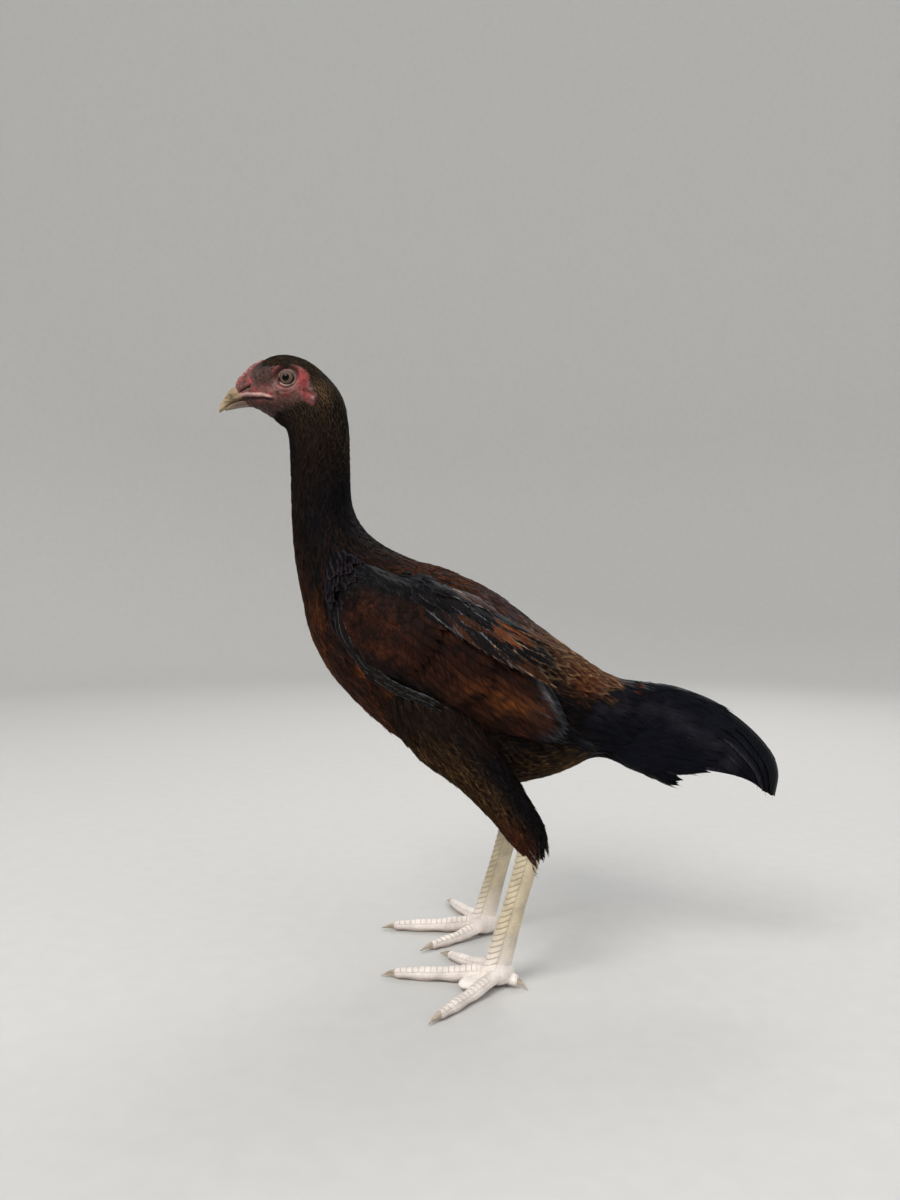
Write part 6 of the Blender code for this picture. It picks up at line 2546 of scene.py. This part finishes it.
    def toe_relief(self, toe: Toe, rows: Array, height: Array, groove: Array) -> tuple[Array, Array]:
        """Height and groove with one toe's scutes, pads and side skin.

        Args:
            toe: the toe.
            rows: places on the leg.
            height: heights so far.
            groove: grooves so far.

        Returns:
            The heights and the grooves.
        """
        root, ahead = self.paths[toe]
        reach = (rows - root) @ ahead
        t = clamp((reach - self.TOE_START) / (toe.reach - self.TOE_START))
        out = rows - (root + ahead * reach[:, None] + UP * toe.rise(t)[:, None])
        aside, up = out @ np.cross(UP, ahead), out[:, 2]
        turn = np.arctan2(aside, up)
        near = (np.hypot(aside, up) < toe.thick * 0.68) & (reach > 9) & (reach < toe.reach + 1)
        near = near * ease(reach, 9, 14)
        lip, gap = self.scute(t ** 0.92 * toe.scutes + 0.04 * np.cos(turn), turn, 1.0)
        height = np.where(near > 0, height * (1 - near) + lip * 0.8 * near, height)
        groove = np.where(near > 0, np.maximum(groove * (1 - near), gap * near), groove)
        low = near * ease(np.abs(turn), 1.9, 2.3)
        warts = np.cos(reach * 4.2) * np.cos(turn * 9)
        side_skin = near * ease(np.abs(turn), 1.05, 1.2)
        height = height - 0.35 * low * hump(np.sin(3 * math.pi * t), 0.25) + 0.05 * warts * side_skin
        return height, np.maximum(groove, 0.15 * ease(warts, 0.0, -0.9) * side_skin)

    def dress(self, leg: Object) -> None:
        """Raises the scutes out of the melted form and marks the grooves.

        Args:
            leg: the leg's melted form.
        """
        points = vertex_array(leg)
        rows = points / MM
        height, groove = self.shank_relief(rows)
        for toe in self.toes:
            height, groove = self.toe_relief(toe, rows, height, groove)
        free = rows[:, 2] > 1.0
        points += vertex_array(leg, "normal") * (height * free * MM)[:, None]
        points[:, 2] = np.maximum(points[:, 2], 0.1 * MM)
        set_points(leg, points)
        # The grooves' depth, which the leg's finish paints as shade.
        set_value(leg, "groove", groove)

    @staticmethod
    def claw_place(start: Array, ahead: Array, length: float, thick: float, end: float, along: Array,
                   around: Array) -> Array:
        """Points of one curved claw.

        Args:
            start: middle of its root.
            ahead: level direction that it points.
            length: its length.
            thick: half size at its root.
            end: height of its tip's middle.
            along: shares from its root to its tip.
            around: shares round it.

        Returns:
            The points.
        """
        t = along * 1.06 - 0.06
        s = np.maximum(t, 0)
        size = thick * (1 - 0.90 * s) * np.where(t < 0, 0.9, 1)
        path = start + ahead * (length * t)[:, None] - UP * ((start[2] - end) * s**1.8)[:, None]
        return hoop(path, UP, size, np.cross(UP, ahead), size * 0.78, around) * MM

    def build(self, scales: Material, horn: Material) -> None:
        """The leg and its claws on the bird.

        Args:
            scales: the leg's finish.
            horn: the claws' finish.
        """
        word = self.side.word
        leg = self.flesh()
        self.dress(leg)
        kinds = [*(toe.name for toe in self.toes), "hind"]
        settle(leg, "leg_scales", scales, (f"shank_{word}", *(f"toe_{word}_{kind}" for kind in kinds)))
        claws = [(root + ahead * (toe.reach - 0.6) + (0, 0, 3.6), ahead, 10.4, 2.6, 1.4)
                 for toe, (root, ahead) in self.paths.items()]
        claws.append((self.hind_end + self.back * 15.4, self.back, 7.2, 2.4, 1.0))
        for kind, sizes in zip(kinds, claws):
            claw = shaped_grid(f"claw_horn_{word}_{kind}", 24, 26, partial(self.claw_place, *sizes))
            settle(claw, "horn", horn, (f"claw_{word}_{kind}",))


@dataclass(frozen=True)
class Studio:
    """A pale bowl-shaped floor, soft light and the photograph's view; in metres."""

    flat: float = 2.2
    bend: float = 0.9
    wall: float = 3.2
    floor_colours: tuple = ((0.58, 0.57, 0.55), (0.63, 0.62, 0.60))
    lens: float = 27.0
    place: tuple = (0.0394, -0.6504, 0.262)
    turn: float = math.radians(6)
    pitch: float = math.radians(0.32)
    # Name, place, height that it faces above the floor's middle, side, watts, colour.
    lamps: tuple = (("key", (-0.9, -1.4, 1.9), 0.25, 1.1, 34.0, (1.0, 0.985, 0.96)),
                    ("fill", (1.5, -1.0, 1.0), 0.22, 1.4, 6.0, (0.94, 0.97, 1.0)),
                    ("rim", (0.5, 1.4, 1.6), 0.3, 1.0, 12.0, (1.0, 1.0, 1.0)))
    room: tuple = (0.80, 0.82, 0.85, 1.0)

    @staticmethod
    def aim(obj: Object, place: tuple, ahead: Vector) -> None:
        """Puts a lamp or a camera at a place, facing a direction."""
        obj.location = place
        obj.rotation_euler = ahead.to_track_quat("-Z", "Y").to_euler()

    def floor(self) -> None:
        """The floor, which rises to a round wall and isn't part of the bird."""
        curve = [(self.flat + self.bend * math.sin(a), self.bend * (1 - math.cos(a)))
                 for a in np.linspace(0, math.pi / 2, 13)[1:]]
        profile = [(0.02, 0.0), (self.flat, 0.0), *curve, (self.flat + self.bend, self.wall)]
        bm = bmesh.new()
        verts = [bm.verts.new((x, 0, z)) for x, z in profile]
        edges = [bm.edges.new(pair) for pair in zip(verts, verts[1:])]
        bmesh.ops.spin(bm, geom=verts + edges, axis=(0, 0, 1), cent=(0, 0, 0), angle=TURN, steps=96,
                       use_merge=True)
        bmesh.ops.holes_fill(bm, edges=[e for e in bm.edges if e.is_boundary and e.verts[0].co.z < 0.01],
                             sides=0)
        bmesh.ops.recalc_face_normals(bm, faces=bm.faces)
        floor = finished("studio_floor", bm)
        n = Paint("pale_floor")
        speck = n.blend(n.noise(n.place(), 60.0, 5.0), *self.floor_colours)
        floor.data.materials.append(n.finish(speck, Roughness=0.8, Specular__IOR__Level=0.2))

    def camera(self) -> None:
        """The camera at the photograph's place."""
        data = bpy.data.cameras.new("view")
        data.lens, data.sensor_width, data.sensor_fit, data.clip_start = self.lens, 36, "AUTO", 0.01
        level = math.cos(self.pitch)
        ahead = Vector((-math.sin(self.turn) * level, math.cos(self.turn) * level, -math.sin(self.pitch)))
        obj = link("view", data)
        self.aim(obj, self.place, ahead)
        bpy.context.scene.camera = obj

    def light(self) -> None:
        """Soft square lamps in a pale room."""
        for name, place, height, size, power, colour in self.lamps:
            data = bpy.data.lights.new(name, "AREA")
            data.size, data.energy, data.color = size, power, colour
            self.aim(link(name, data), place, Vector((0, 0, height)) - Vector(place))
        world = bpy.data.worlds.new("soft_room")
        world.use_nodes = True
        world.node_tree.nodes["Background"].inputs[0].default_value = self.room
        bpy.context.scene.world = world
        bpy.context.scene.view_settings.view_transform = "Standard"

    def build(self) -> None:
        """The whole studio."""
        self.camera()
        self.floor()
        self.light()


BILL_HORN = HornFinish("bill_horn", (0.300, 0.205, 0.110), (0.070, 0.046, 0.028), (0.46, 0.36, 0.22), -0.203,
                       -0.190)
LOW_BILL_HORN = HornFinish("lower_bill_horn", (0.135, 0.080, 0.055), (0.060, 0.036, 0.026),
                           (0.30, 0.22, 0.13),
                           -0.198, -0.184)
CLAW_HORN = HornFinish("claw_horn", (0.48, 0.39, 0.30), (0.24, 0.18, 0.13), (0.56, 0.48, 0.39), -0.20, 0.05)


def main() -> None:
    """Builds the pullet and its studio."""
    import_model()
    Studio().build()
    effects, form, markings, face = Effects(), Form(), Markings(), Face()
    skin = SkinFinish().material(effects)
    Skin(form, face, markings).build(skin)
    Comb(form).build(skin)
    Earlobes().build(skin)
    Eyes().build(EyeFinish().material(), skin)
    Bill().build(BILL_HORN.material(), LOW_BILL_HORN.material())
    scales, claw_horn = ScaleFinish().material(), CLAW_HORN.material()
    for side in Side:
        Leg(side).build(scales, claw_horn)
    plumage = Plumage(form, markings, effects)
    plumage.head_feathers(face)
    plumage.body_feathers()
    plumage.thigh_feathers()
    for side in Side:
        Wing(plumage, side).build()
    Tail(plumage).build()


if __name__ == "__main__":
    logging.basicConfig(level=logging.INFO, format="%(name)s: %(message)s")
    main()
